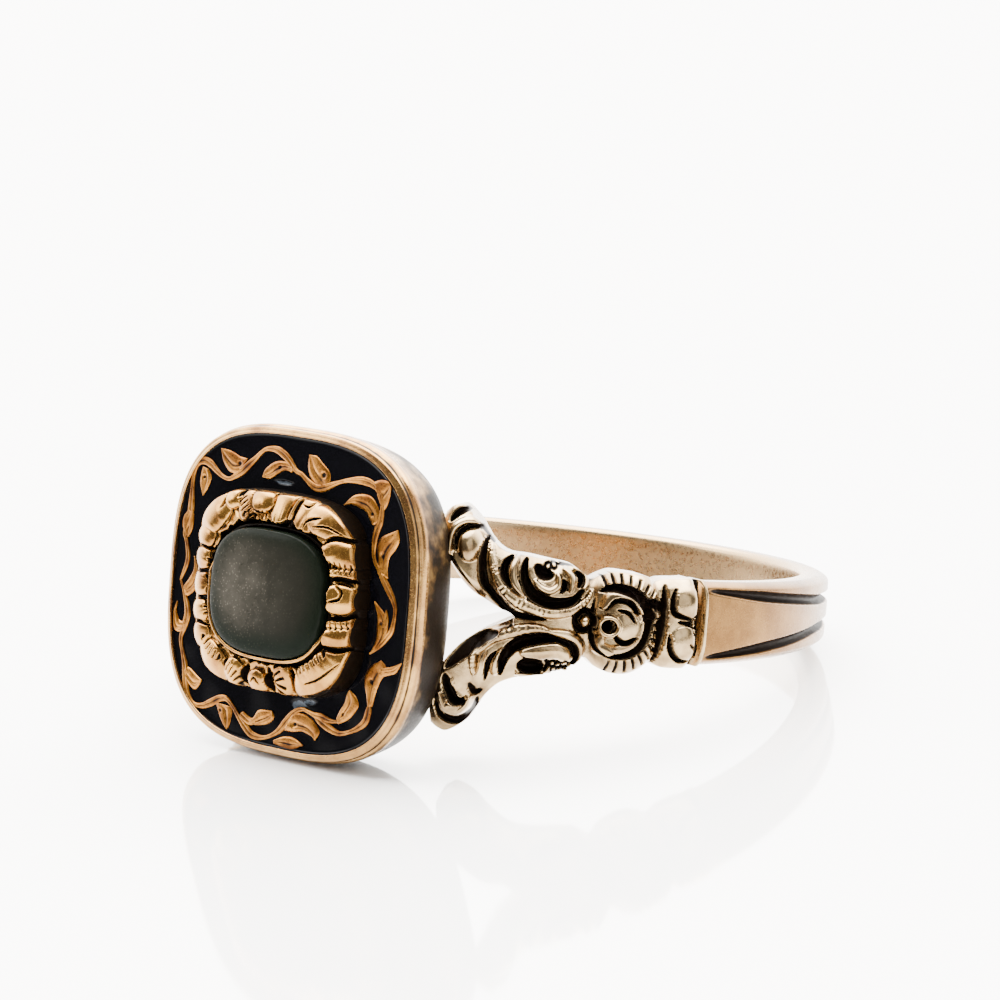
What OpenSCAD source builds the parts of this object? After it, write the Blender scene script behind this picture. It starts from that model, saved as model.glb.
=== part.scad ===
// Mourning ring with a cushion head, an enamelled vine and forked scroll shoulders.
// It lies on its side: the head's lower edge and the back of the band touch the ground.
// Millimetres, Z up. The head faces -Y and the finger hole runs nearly along Z.

/* [Band] */
// Inside diameter of the hoop, the finger size
bore_d = 17.5; // [16.5:0.1:18.5]
// Thickness of the plain band
band_wall = 0.95; // [0.8:0.05:1.3]
// Width of the band at the back of the finger
band_back_w = 1.9; // [1.6:0.1:2.4]
// Width of the band where it leaves the shoulders
band_joint_w = 2.6; // [2.4:0.1:3]
// Width of each groove between the reeds
groove_w = 0.26; // [0.16:0.02:0.4]
// Depth of each groove
groove_deep = 0.18; // [0.1:0.02:0.3]
// Distance between the grooves beside the shoulders
groove_joint_gap = 2.1; // [1.8:0.1:2.2]
// Distance between the grooves at the back
groove_back_gap = 0.75; // [0.6:0.05:1]
// Angle from the middle of the head to where the grooves have closed up
groove_close_deg = 118; // [100:1:150]

/* [Head] */
// Distance from the finger's axis to the enamelled face
face_rise = 11; // [10.8:0.05:11.6]
// Width of the head round the finger
head_w = 10.5; // [10:0.1:12]
// Height of the head along the finger
head_h = 10; // [9.6:0.1:11.5]
// Distance from the bore to the back of the head's case
head_back_gap = 0.1; // [0:0.05:0.3]
// Width of the gold rim round the enamel
rim_w = 0.2; // [0.15:0.05:0.4]
// Height of the rim's crest over the enamel
rim_rise = 0.07; // [0.04:0.01:0.15]
// Thickness of the enamel
enamel_t = 0.3; // [0.2:0.05:0.4]

/* [Border and glass] */
// Width of the chased border round the finger
border_w = 7.24; // [6.8:0.02:7.6]
// Height of the chased border along the finger
border_h = 6.3; // [6:0.05:6.8]
// Height of the border's crest over the enamel
border_rise = 0.67; // [0.4:0.01:0.9]
// Width of the glass round the finger
glass_w = 4.76; // [4.2:0.02:5]
// Height of the glass along the finger
glass_h = 3.9; // [3.4:0.05:4.1]
// Height of the glass's edge over the enamel
glass_edge_rise = 0.95; // [0.7:0.01:1.2]
// Height of the glass's dome over its edge
dome_rise = 0.36; // [0.2:0.02:0.7]
// Sideways offset of the glass in its border
glass_off = -0.1; // [-0.15:0.01:0.15]
// Wall of the collet round the glass
collet_wall = 0.11; // [0.08:0.01:0.14]
// Width of the dark channel between collet and border
channel_w = 0.12; // [0.08:0.01:0.2]
// Thickness of the panel under the glass
panel_t = 0.22; // [0.15:0.01:0.3]

/* [Shoulders] */
// Angle from the middle of the head to the end of each shoulder
joint_deg = 75.4; // [72:0.2:80]
// Spread of each fork's two arms at the head
fork_spread = 7.2; // [6.6:0.1:7.6]
// Width of the open gap between the two arms at the head
fork_gap_w = 3.5; // [2.8:0.1:3.8]
// Length of each fork's end that stands inside the case
fork_into_case = 0.669; // [0.5:0.001:0.9]
// Height of each fork's end that stands over the case's back, where a wide case would pass it by
fork_over_back = 0.3; // [0.2:0.01:0.35]
// Angle from the middle of the head to the point of the gap
gap_point_deg = 39.8; // [38:0.2:42]
// Width of the rose on each shoulder
rose_w = 3.14; // [2.8:0.02:3.4]
// Height of the rose over the bore
rose_rise = 1.7; // [1.4:0.05:2]
// Depth of the cuts between the scrolls
scroll_deep = 0.42; // [0.2:0.02:0.6]

/* [Fits] */
// Gap between pieces that are set into each other
fit = 0.03; // [0.02:0.01:0.05]

/* [Hidden] */
$fn = 96;

bore_r = bore_d / 2;
band_r = bore_r + band_wall;
head_deep = face_rise - bore_r - head_back_gap;
face_half = [head_w / 2 - rim_w, head_h / 2 - rim_w];
border_half = [border_w, border_h] / 2;
glass_half = [glass_w, glass_h] / 2;
collet_half = glass_half + [1, 1] * (fit + collet_wall);
border_hole_half = collet_half + [abs(glass_off), 0] + [1, 1] * channel_w;
floor_deep = enamel_t + fit;

// Corner sharpness of the cushion outlines: 2 is an ellipse, more is squarer
head_square = 3;
border_square = 3.4;
glass_square = 2.9;
cushion_steps = 64;

// The case's profile from the rim's crest backwards: share of the depth, growth of the half size in rims
head_profile = [[0, -0.7], [0.02, -0.25], [0.1, 0.1], [0.26, 0.3], [0.48, 0.1], [0.7, -0.5], [0.88, -1.3], [1, -2.4]];

// Where the ring touches the ground, and so how far the hoop leans
function lean_of(p) = atan((head_h / 2 + p[1] * rim_w - band_back_w / 2) / (u_of(p) + band_r));
function u_of(p) = face_rise + rim_rise - p[0] * (head_deep + rim_rise);
lean = max([for (p = head_profile) lean_of(p)]);
ground_rise = band_r * sin(lean) + band_back_w / 2 * cos(lean);
dome_top = face_rise + glass_edge_rise + dome_rise;
front_reach = max(dome_top * cos(lean), face_rise * cos(lean) + head_h / 2 * sin(lean));
back_reach = band_r * cos(lean) + band_back_w / 2 * sin(lean);

// Puts the upright ring on the ground, its box centred on the origin
module laid() {
    translate([0, (front_reach - back_reach) / 2, ground_rise]) rotate([-lean, 0, 0]) children();
}

// Turns a flat drawing to the head's face: X round the finger, Y along it, Z out of the face
module on_face(u) {
    translate([0, -u, 0]) rotate([90, 0, 0]) children();
}

// One point of a cushion outline with half sizes h, at the angle a
function cushion_point(h, n, a) =
    pow(pow(abs(cos(a)) / h[0], n) + pow(abs(sin(a)) / h[1], n), -1 / n) * [cos(a), sin(a)];
function cushion(h, n, steps = cushion_steps) = [for (i = [0:steps - 1]) cushion_point(h, n, 360 * i / steps)];
function at_height(outline, z) = [for (p = outline) [p[0], p[1], z]];

// A closed solid through outlines of equal counts, listed from the lowest up
module loft(outlines) {
    k = len(outlines[0]);
    rows = len(outlines);
    polyhedron(
        points = [for (o = outlines) each o],
        faces = concat(
            [[for (i = [0:k - 1]) i]],
            [for (r = [0:rows - 2], i = [0:k - 1], t = [0, 1]) t == 0
                ? [r * k + i, (r + 1) * k + i, (r + 1) * k + (i + 1) % k]
                : [r * k + i, (r + 1) * k + (i + 1) % k, r * k + (i + 1) % k]],
            [[for (i = [k - 1:-1:0]) (rows - 1) * k + i]]
        )
    );
}

// A smooth run of points through the given ones
function curve_point(a, b, c, d, t) =
    0.5 * (2 * b + (c - a) * t + (2 * a - 5 * b + 4 * c - d) * t * t + (3 * b - a - 3 * c + d) * t * t * t);
function smooth(p, steps) = concat(
    [for (i = [0:len(p) - 2], s = [0:steps - 1])
        curve_point(p[max(i - 1, 0)], p[i], p[i + 1], p[min(i + 2, len(p) - 1)], s / steps)],
    [p[len(p) - 1]]
);
function side_of(p, i) = let (d = p[min(i + 1, len(p) - 1)] - p[max(i - 1, 0)]) [-d[1], d[0]] / norm(d);

// The vine. Its points are shares of the enamel's half width and half height.
// Each stem is the run of its middle line
stem_half = 0.085;
stem_steps = 4;
vine_stems = [
    [[-0.85, -0.16], [-0.91, 0.06], [-0.87, 0.26], [-0.875, 0.48], [-0.86, 0.68], [-0.79, 0.75], [-0.67, 0.7],
        [-0.56, 0.66], [-0.455, 0.725], [-0.35, 0.82], [-0.22, 0.895], [-0.08, 0.85], [0.05, 0.77], [0.17, 0.7],
        [0.32, 0.735], [0.48, 0.78], [0.62, 0.78], [0.71, 0.72], [0.73, 0.62], [0.7, 0.48], [0.695, 0.32],
        [0.79, 0.19], [0.88, 0.07], [0.89, -0.05], [0.82, -0.19], [0.73, -0.27]],
    [[0.9, -0.34], [0.8, -0.41], [0.755, -0.52], [0.755, -0.65], [0.68, -0.755], [0.51, -0.82], [0.4, -0.775],
        [0.27, -0.735], [0.18, -0.74], [0.09, -0.81], [-0.02, -0.915], [-0.16, -0.955], [-0.28, -0.91],
        [-0.385, -0.8], [-0.475, -0.75], [-0.59, -0.805], [-0.7, -0.83], [-0.79, -0.75], [-0.83, -0.6],
        [-0.86, -0.48], [-0.9, -0.34]],
];
// Each leaf: base x, base y, middle x, middle y, tip x, tip y, greatest half width in mm
vine_leaves = [
    [0.26, 0.735, 0.14, 0.77, 0.122, 0.89, 0.2], [0.705, 0.54, 0.655, 0.69, 0.43, 0.62, 0.2],
    [0.77, 0.26, 0.75, 0.4, 0.87, 0.51, 0.19], [0.83, -0.16, 0.78, -0.07, 0.73, 0.045, 0.15],
    [0.71, 0.69, 0.72, 0.75, 0.78, 0.8, 0.15], [0.76, -0.55, 0.73, -0.4, 0.87, -0.34, 0.2],
    [0.46, -0.79, 0.6, -0.71, 0.585, -0.55, 0.19], [0.1, -0.83, 0.2, -0.78, 0.33, -0.885, 0.19],
    [-0.5, -0.77, -0.465, -0.84, -0.43, -0.94, 0.19], [-0.33, -0.84, -0.2, -0.87, -0.06, -0.78, 0.15],
    [-0.84, -0.56, -0.77, -0.7, -0.68, -0.68, 0.19], [-0.44, 0.74, -0.56, 0.73, -0.64, 0.845, 0.2],
    [-0.03, 0.81, -0.18, 0.81, -0.27, 0.715, 0.16], [-0.75, 0.73, -0.74, 0.65, -0.78, 0.53, 0.16],
    [-0.87, 0.4, -0.92, 0.34, -0.915, 0.24, 0.13], [-0.89, 0.02, -0.85, -0.05, -0.84, 0.16, 0.12],
    [-0.885, -0.4, -0.93, -0.33, -0.925, -0.22, 0.12],
];
leaf_steps = 8;
function on_field(p) = [p[0] * face_half[0], p[1] * face_half[1]];
function bend(a, b, c, t) = (1 - t) * (1 - t) * a + 2 * t * (1 - t) * b + t * t * c;

module vine_stem(points) {
    line = smooth([for (p = points) on_field(p)], stem_steps);
    last = len(line) - 1;
    function half(i) = stem_half * (0.25 + 0.75 * min(1, min(i, last - i) / stem_steps));
    polygon(concat(
        [for (i = [0:last]) line[i] + side_of(line, i) * half(i)],
        [for (i = [last:-1:0]) line[i] - side_of(line, i) * half(i)]
    ));
}

module vine_leaf(row) {
    ends = [for (k = [0, 2, 4]) on_field([row[k], row[k + 1]])];
    line = [for (i = [0:leaf_steps]) bend(ends[0], ends[1], ends[2], i / leaf_steps)];
    function half(i) = row[6] * sin(180 * pow(i / leaf_steps, 0.85)) + 0.01;
    polygon(concat(
        [for (i = [0:leaf_steps]) line[i] + side_of(line, i) * half(i)],
        [for (i = [leaf_steps:-1:0]) line[i] - side_of(line, i) * half(i)]
    ));
}

module vine() {
    for (s = vine_stems) vine_stem(s);
    for (row = vine_leaves) vine_leaf(row);
}

// The case of the head, with the recess for the enamel and the vine that stands in it
module head_case() {
    difference() {
        on_face(0) loft([for (i = [len(head_profile) - 1:-1:0]) let (p = head_profile[i])
            at_height(cushion([head_w, head_h] / 2 + [1, 1] * p[1] * rim_w, head_square), u_of(p))]);
        on_face(face_rise - floor_deep)
            linear_extrude(floor_deep + 2 * rim_rise) polygon(cushion(face_half, head_square));
    }
    on_face(face_rise - floor_deep - fit) linear_extrude(floor_deep + fit) offset(delta = -fit) offset(delta = fit) vine();
}

// Shoulder outline: share of the way from the head, half width as shares of the fork's and of the rose's half
shoulder_outline = [
    [0, 0.93, 0], [0.06, 0.985, 0], [0.1, 0.98, 0], [0.135, 0.93, 0], [0.173, 0.82, 0], [0.2, 0.69, 0],
    [0.218, 0.66, 0], [0.263, 0.6, 0], [0.318, 0, 1.2], [0.363, 0, 1.16], [0.43, 0, 1.08], [0.508, 0, 1.03],
    [0.547, 0, 0.9], [0.57, 0, 0.76], [0.598, 0, 0.9], [0.654, 0, 1], [0.72, 0, 0.99], [0.765, 0, 0.9],
    [0.8, 0, 0.8], [0.832, 0, 0.89], [0.9, 0, 0.88], [0.944, 0, 0.84], [1, 0, 0.84],
];
// Height of the relief over the bore: share of the way, share of the rose's height
shoulder_height = [
    [0, 0.9], [0.08, 1.02], [0.16, 0.92], [0.2, 0.74], [0.26, 0.87], [0.4, 0.9], [0.52, 0.83], [0.57, 0.64],
    [0.61, 0.9], [0.68, 1], [0.76, 0.9], [0.8, 0.7], [0.84, 0.82], [0.91, 0.8], [0.93, 0.5], [0.965, 0.5],
    [0.972, 0.64], [1, 0.56],
];
// Half width of the fork's open gap: share of the way from the head to its point, share of its half width
gap_outline = [[0, 1.25], [0.22, 0.86], [0.4, 0.52], [0.58, 0.3], [0.78, 0.14], [1, 0.02]];
// Crescent cuts of one arm, with their mates mirrored: middle as share of the way and share of the rose's half
// width, radius and width as shares of the rose's half width, first and last angle
scroll_cuts = [
    [0.123, 1.5, 0.4, 0.12, 60, 215], [0.13, 1.6, 0.62, 0.12, 85, 170], [0.285, 1.02, 0.54, 0.16, 125, 235],
    [0.341, 0.96, 0.48, 0.14, 150, 230], [0.436, 0.92, 0.54, 0.22, 165, 350], [0.408, 1.02, 0.22, 0.2, 180, 360],
    [0.883, 0.42, 0.32, 0.1, 90, 280],
];
// Cuts of the rose round its middle: the same columns, as drawn
rose_cuts = [
    [0.67, 0.05, 0.3, 0.12, 20, 170], [0.66, -0.05, 0.42, 0.12, 200, 330], [0.66, 0, 0.68, 0.16, -75, 130],
    [0.655, 0, 0.5, 0.08, 150, 230],
];
pit_at = 0.624;
pit_r = 0.14;
bead_at = 0.547;
bead_r = 0.13;
ruffles = 16;
// Each fork starts inside the case: by its side, or by its back where the case is wide
shoulder_start_deg = min(
    asin((head_w / 2 - fork_into_case) / (bore_r + rose_rise)),
    acos((bore_r + head_back_gap + fork_over_back) / (bore_r + shoulder_height[0][1] * rose_rise))
);
// Rows along the open gap, on to the joint and on to the back, of the relief and of its lining
relief_rows = [12, 30, 14];
lining_rows = [3, 7, 8];
// The lining's rows stand a little past the relief's, so that no two faces lie in one plane
lining_shift_deg = 0.4;
// Strips across each half of the relief
half_strips = 9;
// Heights over the bore of the lining's outside and of the relief's foot inside it
lining_top = 0.44 * band_wall;
relief_foot = 0.2 * band_wall;
// How far the lining stays inside the edges of the band, of the shoulders and of the open gap
lining_inset = [0.08, 0.26, 0.1] * band_wall;

shoulder_arc = joint_deg - shoulder_start_deg;
map_len = (bore_r + rose_rise * 0.85) * shoulder_arc * PI / 180;
fork_half = fork_spread / 2;
rose_half = rose_w / 2;
function column(t, k) = [for (r = t) [r[0], r[k]]];
function outline_half(q) = lookup(q, column(shoulder_outline, 1)) * fork_half
    + lookup(q, column(shoulder_outline, 2)) * rose_half;
function gap_share(deg) = (deg - shoulder_start_deg) / (gap_point_deg - shoulder_start_deg);
function gap_half(deg) = gap_share(deg) >= 1 ? 0 : lookup(gap_share(deg), gap_outline) * fork_gap_w / 2;

// How deep one crescent cuts at a place p, both in rose halves; the crescent thins to its ends
function crescent(row, p) = let (
    d = p - [row[0] * map_len / rose_half, row[1]],
    mid = (row[4] + row[5]) / 2,
    turn = ((atan2(d[1], d[0]) - mid + 540) % 360 + 360) % 360 - 180,
    share = abs(turn) / ((row[5] - row[4]) / 2),
    half = row[3] * sqrt(max(0, 1 - share * share)) + 0.001
) share >= 1 ? 0 : max(0, 1 - pow(abs(norm(d) - row[2]) / half, 2));

// The ruffled outer petals of the rose, cut by fine radial lines
function ruffle(p) = let (d = p - [0.655 * map_len / rose_half, 0], r = norm(d))
    r < 0.72 || r > 1.02 ? 0 : 0.3 * pow(max(0, cos(ruffles * atan2(d[1], d[0]))), 2);

function dip(p, at, r) = max(0, 1 - pow(norm(p - [at * map_len / rose_half, 0]) / r, 2));

// Height of a shoulder over the bore at the angle deg and the place w along the finger
function relief(deg, w) = let (
    q = (deg - shoulder_start_deg) / shoulder_arc,
    s = abs(w) / outline_half(q),
    p = [q * map_len, w] / rose_half,
    m = [p[0], abs(p[1])],
    base = lookup(q, shoulder_height) * rose_rise,
    lip = deg < gap_point_deg ? max(0, 1 - (abs(w) - gap_half(deg)) / (0.4 * band_wall)) : 0,
    cut = max(concat([0], [for (c = scroll_cuts) crescent(c, m)], [for (c = rose_cuts) crescent(c, p)], [ruffle(p)]))
) max(band_wall * 0.6, base * (1 - 0.3 * pow(s, 3)) - 0.3 * band_wall * pow(min(lip, 1), 2) - scroll_deep * cut
    - 2 * scroll_deep * dip(p, pit_at, pit_r) + 0.8 * scroll_deep * dip(p, bead_at, bead_r)
    - 0.35 * scroll_deep * dip(p, bead_at, 2.4 * bead_r));

// The plain band narrows evenly to the back, and its two grooves close up
function back_share(deg) = (cos(joint_deg) - cos(deg)) / (cos(joint_deg) + 1);
function band_half(deg) = (band_joint_w + (band_back_w - band_joint_w) * back_share(deg)) / 2;
function groove_at(deg) = let (s = min(1, (deg - joint_deg) / (groove_close_deg - joint_deg)))
    (groove_joint_gap + (groove_back_gap - groove_joint_gap) * s) / 2;

// Half of the band's section from its edge to its middle: place w, height over the bore
function band_section(deg) = let (
    edge = band_half(deg),
    g = groove_at(deg),
    fade = min(1, max(0, (deg - joint_deg) / 8)),
    inner = g - groove_w / 2,
    outer = g + groove_w / 2,
    crown = band_wall / 20,
    ridge = [[edge, band_wall * 0.72], [(edge + outer) / 2, band_wall - crown], [outer, band_wall - crown / 2],
        [g, band_wall - groove_deep * fade - crown / 2], [inner, band_wall - crown / 2]],
    left = half_strips - len(ridge)
) concat(ridge, [for (i = [left:-1:0]) [inner * i / (left + 1), band_wall - crown / 2 * i / half_strips]]);

// Angles of the hoop's rows, from one fork's end round the back to the other's: counts of rows along
// the open gap, on to the joint, and on to the back
function spread(a, b, n) = [for (i = [0:n - 1]) a + (b - a) * i / n];
function row_degs(n, shift) = let (half = concat(
    spread(shoulder_start_deg + 2 * shift, gap_point_deg + shift, n[0]),
    spread(gap_point_deg + shift, joint_deg + shift, n[1]), spread(joint_deg + shift, 180, n[2])
)) concat(half, [180], [for (i = [len(half) - 1:-1:0]) 360 - half[i]]);
function on_hoop(deg, r, w) = [r * sin(deg), -r * cos(deg), w];
function folded(deg) = min(deg, 360 - deg);
function edge_half(deg) = deg > joint_deg ? band_half(deg) : outline_half((deg - shoulder_start_deg) / shoulder_arc);

// Half of the section at one row, from its outer edge to the middle or to the gap: place w, radius at -w, radius at w
function relief_half(deg) = deg > joint_deg + 0.001
    ? [for (p = band_section(deg)) [p[0], bore_r + p[1], bore_r + p[1]]]
    : [for (j = [0:half_strips]) let (w = edge_half(deg) + (gap_half(deg) - edge_half(deg)) * j / half_strips)
        [w, bore_r + relief(deg, -w), bore_r + relief(deg, w)]];
function lining_half(deg) = let (inset = deg > joint_deg ? lining_inset[0] : lining_inset[1])
    [for (w = [edge_half(deg) - inset, gap_half(deg) + (deg < gap_point_deg ? lining_inset[2] : 0)])
        [w, bore_r + lining_top, bore_r + lining_top]];

// A closed solid on the hoop, through the half sections at the given rows. Each fork's two arms stand
// apart for the first rows, so the middle line is doubled there.
module hoop_solid(degs, halves, gap_rows, under_r) {
    h = len(halves[0]) - 1;
    wide = 2 * h + 2;
    n = len(degs) - 1;
    function whole(i) = i >= gap_rows && i <= n - gap_rows;
    top = [for (i = [0:n]) each concat(
        [for (p = halves[i]) on_hoop(degs[i], p[1], -p[0])],
        [for (j = [h:-1:0]) on_hoop(degs[i], halves[i][j][2], halves[i][j][0])]
    )];
    under = [for (i = [0:n]) let (o = halves[i][0][0], m = halves[i][h][0])
        each [for (w = [-o, -m, m, o]) on_hoop(degs[i], under_r, w)]];
    function t(i, k) = i * wide + (k == h + 1 && whole(i) ? h : k);
    function b(i, e) = (n + 1) * wide + 4 * i + (e == 2 && whole(i) ? 1 : e);
    strips = [for (k = [0:wide - 2]) if (k != h) k];
    gaps = [for (i = [0:n - 1]) if (!whole(i) || !whole(i + 1)) i];
    function both(p, q, r, s) = [[p, q, r], [p, r, s]];
    function cap(i, k0, k1, u, v) = concat([[b(i, u), b(i, v), t(i, k1)]],
        [for (k = [k0:k1 - 1]) [b(i, u), t(i, k + 1), t(i, k)]]);
    function turned(faces) = [for (f = faces) [f[0], f[2], f[1]]];
    polyhedron(
        points = concat(top, under),
        faces = concat(
            [for (i = [0:n - 1], k = strips) each both(t(i, k), t(i, k + 1), t(i + 1, k + 1), t(i + 1, k))],
            [for (i = [0:n - 1], e = [0, 2]) each both(b(i, e), b(i + 1, e), b(i + 1, e + 1), b(i, e + 1))],
            [for (i = [0:n - 1]) each both(t(i, 0), t(i + 1, 0), b(i + 1, 0), b(i, 0))],
            [for (i = [0:n - 1]) each both(t(i + 1, wide - 1), t(i, wide - 1), b(i, 3), b(i + 1, 3))],
            [for (i = gaps) each both(t(i + 1, h), t(i, h), b(i, 1), b(i + 1, 1))],
            [for (i = gaps) each both(t(i, h + 1), t(i + 1, h + 1), b(i + 1, 2), b(i, 2))],
            cap(0, 0, h, 0, 1), cap(0, h + 1, wide - 1, 2, 3),
            turned(concat(cap(n, 0, h, 0, 1), cap(n, h + 1, wide - 1, 2, 3)))
        )
    );
}

// A plain lining with few faces carries the true bore, and the relief stands on it
module hoop() {
    lining_degs = row_degs(lining_rows, lining_shift_deg);
    relief_degs = row_degs(relief_rows, 0);
    difference() {
        hoop_solid(lining_degs, [for (d = lining_degs) lining_half(folded(d))], lining_rows[0], bore_r - band_wall / 2);
        cylinder(r = bore_r, h = 4 * fork_half, center = true);
    }
    hoop_solid(relief_degs, [for (d = relief_degs) relief_half(folded(d))], relief_rows[0], bore_r + relief_foot);
}

module gold_mount() {
    color("#c9a066") laid() {
        hoop();
        head_case();
    }
}

// Enamel round the vine, out to the rim and in to the border
module black_enamel() {
    color("#101014") laid() on_face(face_rise - enamel_t) linear_extrude(enamel_t) offset(delta = -fit)
        difference() {
            polygon(cushion(face_half, head_square));
            polygon(cushion(border_half, border_square));
            vine();
        }
}

// The border's relief round its middle: angle, height share, and share of the width left at the inner edge
border_relief = [
    [-24, 0.8, 0.85], [-13, 0.62, 0.8], [-9, 1, 1], [9, 1, 1], [13, 0.62, 0.8], [30, 0.9, 0.9], [44, 0.95, 1],
    [60, 0.85, 0.95], [72, 0.7, 0.8], [82, 0.95, 1], [98, 0.95, 1], [108, 0.7, 0.8], [120, 0.85, 0.95],
    [136, 0.95, 1], [150, 0.9, 0.9], [167, 0.62, 0.8], [171, 1, 1], [189, 1, 1], [193, 0.62, 0.8],
    [210, 0.9, 0.9], [224, 0.95, 1], [240, 0.8, 0.9], [252, 0.6, 0.75], [262, 0.9, 0.95], [278, 0.95, 0.95],
    [288, 0.6, 0.75], [300, 0.85, 0.9], [316, 0.95, 1], [336, 0.8, 0.85], [347, 0.62, 0.8],
];
border_steps = 96;

module chased_border() {
    hole = cushion(border_hole_half, border_square, border_steps);
    out = cushion(border_half - [1, 1] * fit, border_square, border_steps);
    foot = face_rise - enamel_t;
    crest = enamel_t + border_rise;
    k = border_steps;
    function turn(i) = let (a = 360 * i / k) a > 336 ? a - 360 : a;
    function high(i) = lookup(turn(i), column(border_relief, 1)) * crest;
    function wide(i) = lookup(turn(i), column(border_relief, 2));
    // Eight points round the border's section at each step, from the inner foot outwards and back over the top
    function section(i) = let (a = hole[i], b = out[i], h = high(i), e = a + (b - a) * (1 - wide(i)))
        [[a, 0], [b, 0], [b, crest * 0.7], [b + (a - b) * 0.08, h * 0.92], [b + (a - b) * 0.3, h],
            [e + (b - e) * 0.3, h * 0.96], [e, h * 0.72], [a, crest * 0.3]];
    points = [for (i = [0:k - 1]) each [for (p = section(i)) [p[0][0], p[0][1], p[1]]]];
    color("#d8b682") laid() on_face(foot) polyhedron(
        points = points,
        faces = [for (i = [0:k - 1], j = [0:7], t = [0, 1]) let (i2 = (i + 1) % k, j2 = (j + 1) % 8) t == 0
            ? [i * 8 + j, i2 * 8 + j2, i2 * 8 + j]
            : [i * 8 + j, i * 8 + j2, i2 * 8 + j2]]
    );
}

// Thin wall that holds the glass
module glass_collet() {
    color("#c9a066") laid() translate([glass_off, 0, 0]) on_face(face_rise - enamel_t)
        linear_extrude(enamel_t + glass_edge_rise) difference() {
            polygon(cushion(collet_half, glass_square));
            polygon(cushion(glass_half + [1, 1] * fit, glass_square));
        }
}

// Low domed glass: its edge stands straight, then the top rounds over in shares of the half size
module domed_glass() {
    dome = [for (a = [20, 45, 65, 80]) [cos(a), sin(a)]];
    color("#39403a") laid() translate([glass_off, 0, 0]) on_face(face_rise)
        loft(concat(
            [at_height(cushion(glass_half, glass_square), panel_t + 2 * fit - enamel_t),
                at_height(cushion(glass_half, glass_square), glass_edge_rise - 0.05),
                at_height(cushion(glass_half * 0.985, glass_square), glass_edge_rise + 0.04)],
            [for (d = dome) at_height(cushion(glass_half * 0.985 * d[0], glass_square),
                glass_edge_rise + 0.04 + (dome_rise - 0.04) * d[1] / sin(80))]
        ));
}

// Dark panel on the floor of the head, under the glass
module hair_panel() {
    color("#2a2620") laid() translate([glass_off, 0, 0]) on_face(face_rise - enamel_t)
        linear_extrude(panel_t) polygon(cushion(glass_half, glass_square));
}

gold_mount();
black_enamel();
chased_border();
glass_collet();
domed_glass();
hair_panel();
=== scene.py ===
import bmesh
import bpy
import math
import numpy as np
from functools import partial
from mathutils import Matrix


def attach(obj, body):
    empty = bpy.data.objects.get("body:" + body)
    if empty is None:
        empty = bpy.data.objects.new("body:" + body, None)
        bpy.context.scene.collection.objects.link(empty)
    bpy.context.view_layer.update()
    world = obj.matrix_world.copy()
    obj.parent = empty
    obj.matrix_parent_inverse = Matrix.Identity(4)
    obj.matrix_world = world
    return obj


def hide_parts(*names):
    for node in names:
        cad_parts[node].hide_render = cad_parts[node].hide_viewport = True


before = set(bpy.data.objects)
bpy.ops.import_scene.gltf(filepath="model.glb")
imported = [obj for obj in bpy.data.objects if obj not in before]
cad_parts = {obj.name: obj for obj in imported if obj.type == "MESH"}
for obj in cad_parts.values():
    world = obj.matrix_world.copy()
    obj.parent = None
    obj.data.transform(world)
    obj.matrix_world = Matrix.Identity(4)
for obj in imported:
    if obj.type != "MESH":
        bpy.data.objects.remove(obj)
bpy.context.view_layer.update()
print("CAD frame loaded")

mm = 0.001

# where the ring lies, as in the CAD: millimetres and degrees
ring = {
    "boreRadius": 8.75,
    "lean": 11.6705,        # the hoop leans on the head's lower edge
    "rise": 2.8925,         # bore axis over the floor
    "shift": 1.18194,       # bore's middle along Y
    "faceRise": 11.0,       # enamel's surface from the bore axis
    "mapRadius": 10.2,      # shoulders are drawn as a flat map wrapped at this radius
}

# camera worked out from the photo, square frame
cameraFit = {
    "azimuth": 0.7517, "elevation": 0.24743, "roll": -0.0610,       # radians
    "distance": 160.018, "right": -1.0211, "up": 5.4174,            # mm
    "focalPixels": 4939.4, "frameSide": 1000, "sensorWidth": 36,
    "clipStart": 0.01,                                              # metres
}


def placeObject(name, data, axes, spot):
    # axes: which way the object's own X, Y and Z point
    placed = bpy.data.objects.new(name, data)
    columns = np.array(axes).T
    placed.matrix_world = Matrix([[*columns[i], spot[i]] for i in range(3)] + [[0, 0, 0, 1]])
    bpy.context.scene.collection.objects.link(placed)
    return placed


def placeCamera(fit):
    az, el, roll = fit["azimuth"], fit["elevation"], fit["roll"]
    back = np.array([math.sin(az) * math.cos(el), -math.cos(az) * math.cos(el), math.sin(el)])
    right = np.array([math.cos(az), math.sin(az), 0.0])
    up = np.cross(back, right)
    tiltedRight = math.cos(roll) * right + math.sin(roll) * up
    tiltedUp = -math.sin(roll) * right + math.cos(roll) * up
    spot = back * fit["distance"] + tiltedRight * fit["right"] + tiltedUp * fit["up"]
    spot = (spot + [0, ring["shift"], 0]) * mm
    data = bpy.data.cameras.new("photoCamera")
    data.sensor_width = fit["sensorWidth"]
    data.lens = fit["focalPixels"] / fit["frameSide"] * data.sensor_width
    data.clip_start = fit["clipStart"]
    bpy.context.scene.camera = placeObject("photoCamera", data, [tiltedRight, tiltedUp, back], spot)


placeCamera(cameraFit)
print("camera placed")


def lay(points):
    # upright ring in mm to the lying ring in metres: turned back by the lean about X, then lifted and shifted
    points = np.asarray(points, float)
    c, s = math.cos(math.radians(ring["lean"])), math.sin(math.radians(ring["lean"]))
    x, y, z = points[..., 0], points[..., 1], points[..., 2]
    return np.stack([x, y * c + z * s + ring["shift"], -y * s + z * c + ring["rise"]], -1) * mm


def onFace(x, y, height):
    # a point of the head's face: x round the finger, y along it, height out of the enamel
    return np.stack([x, -(ring["faceRise"] + height), y], -1)


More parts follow.
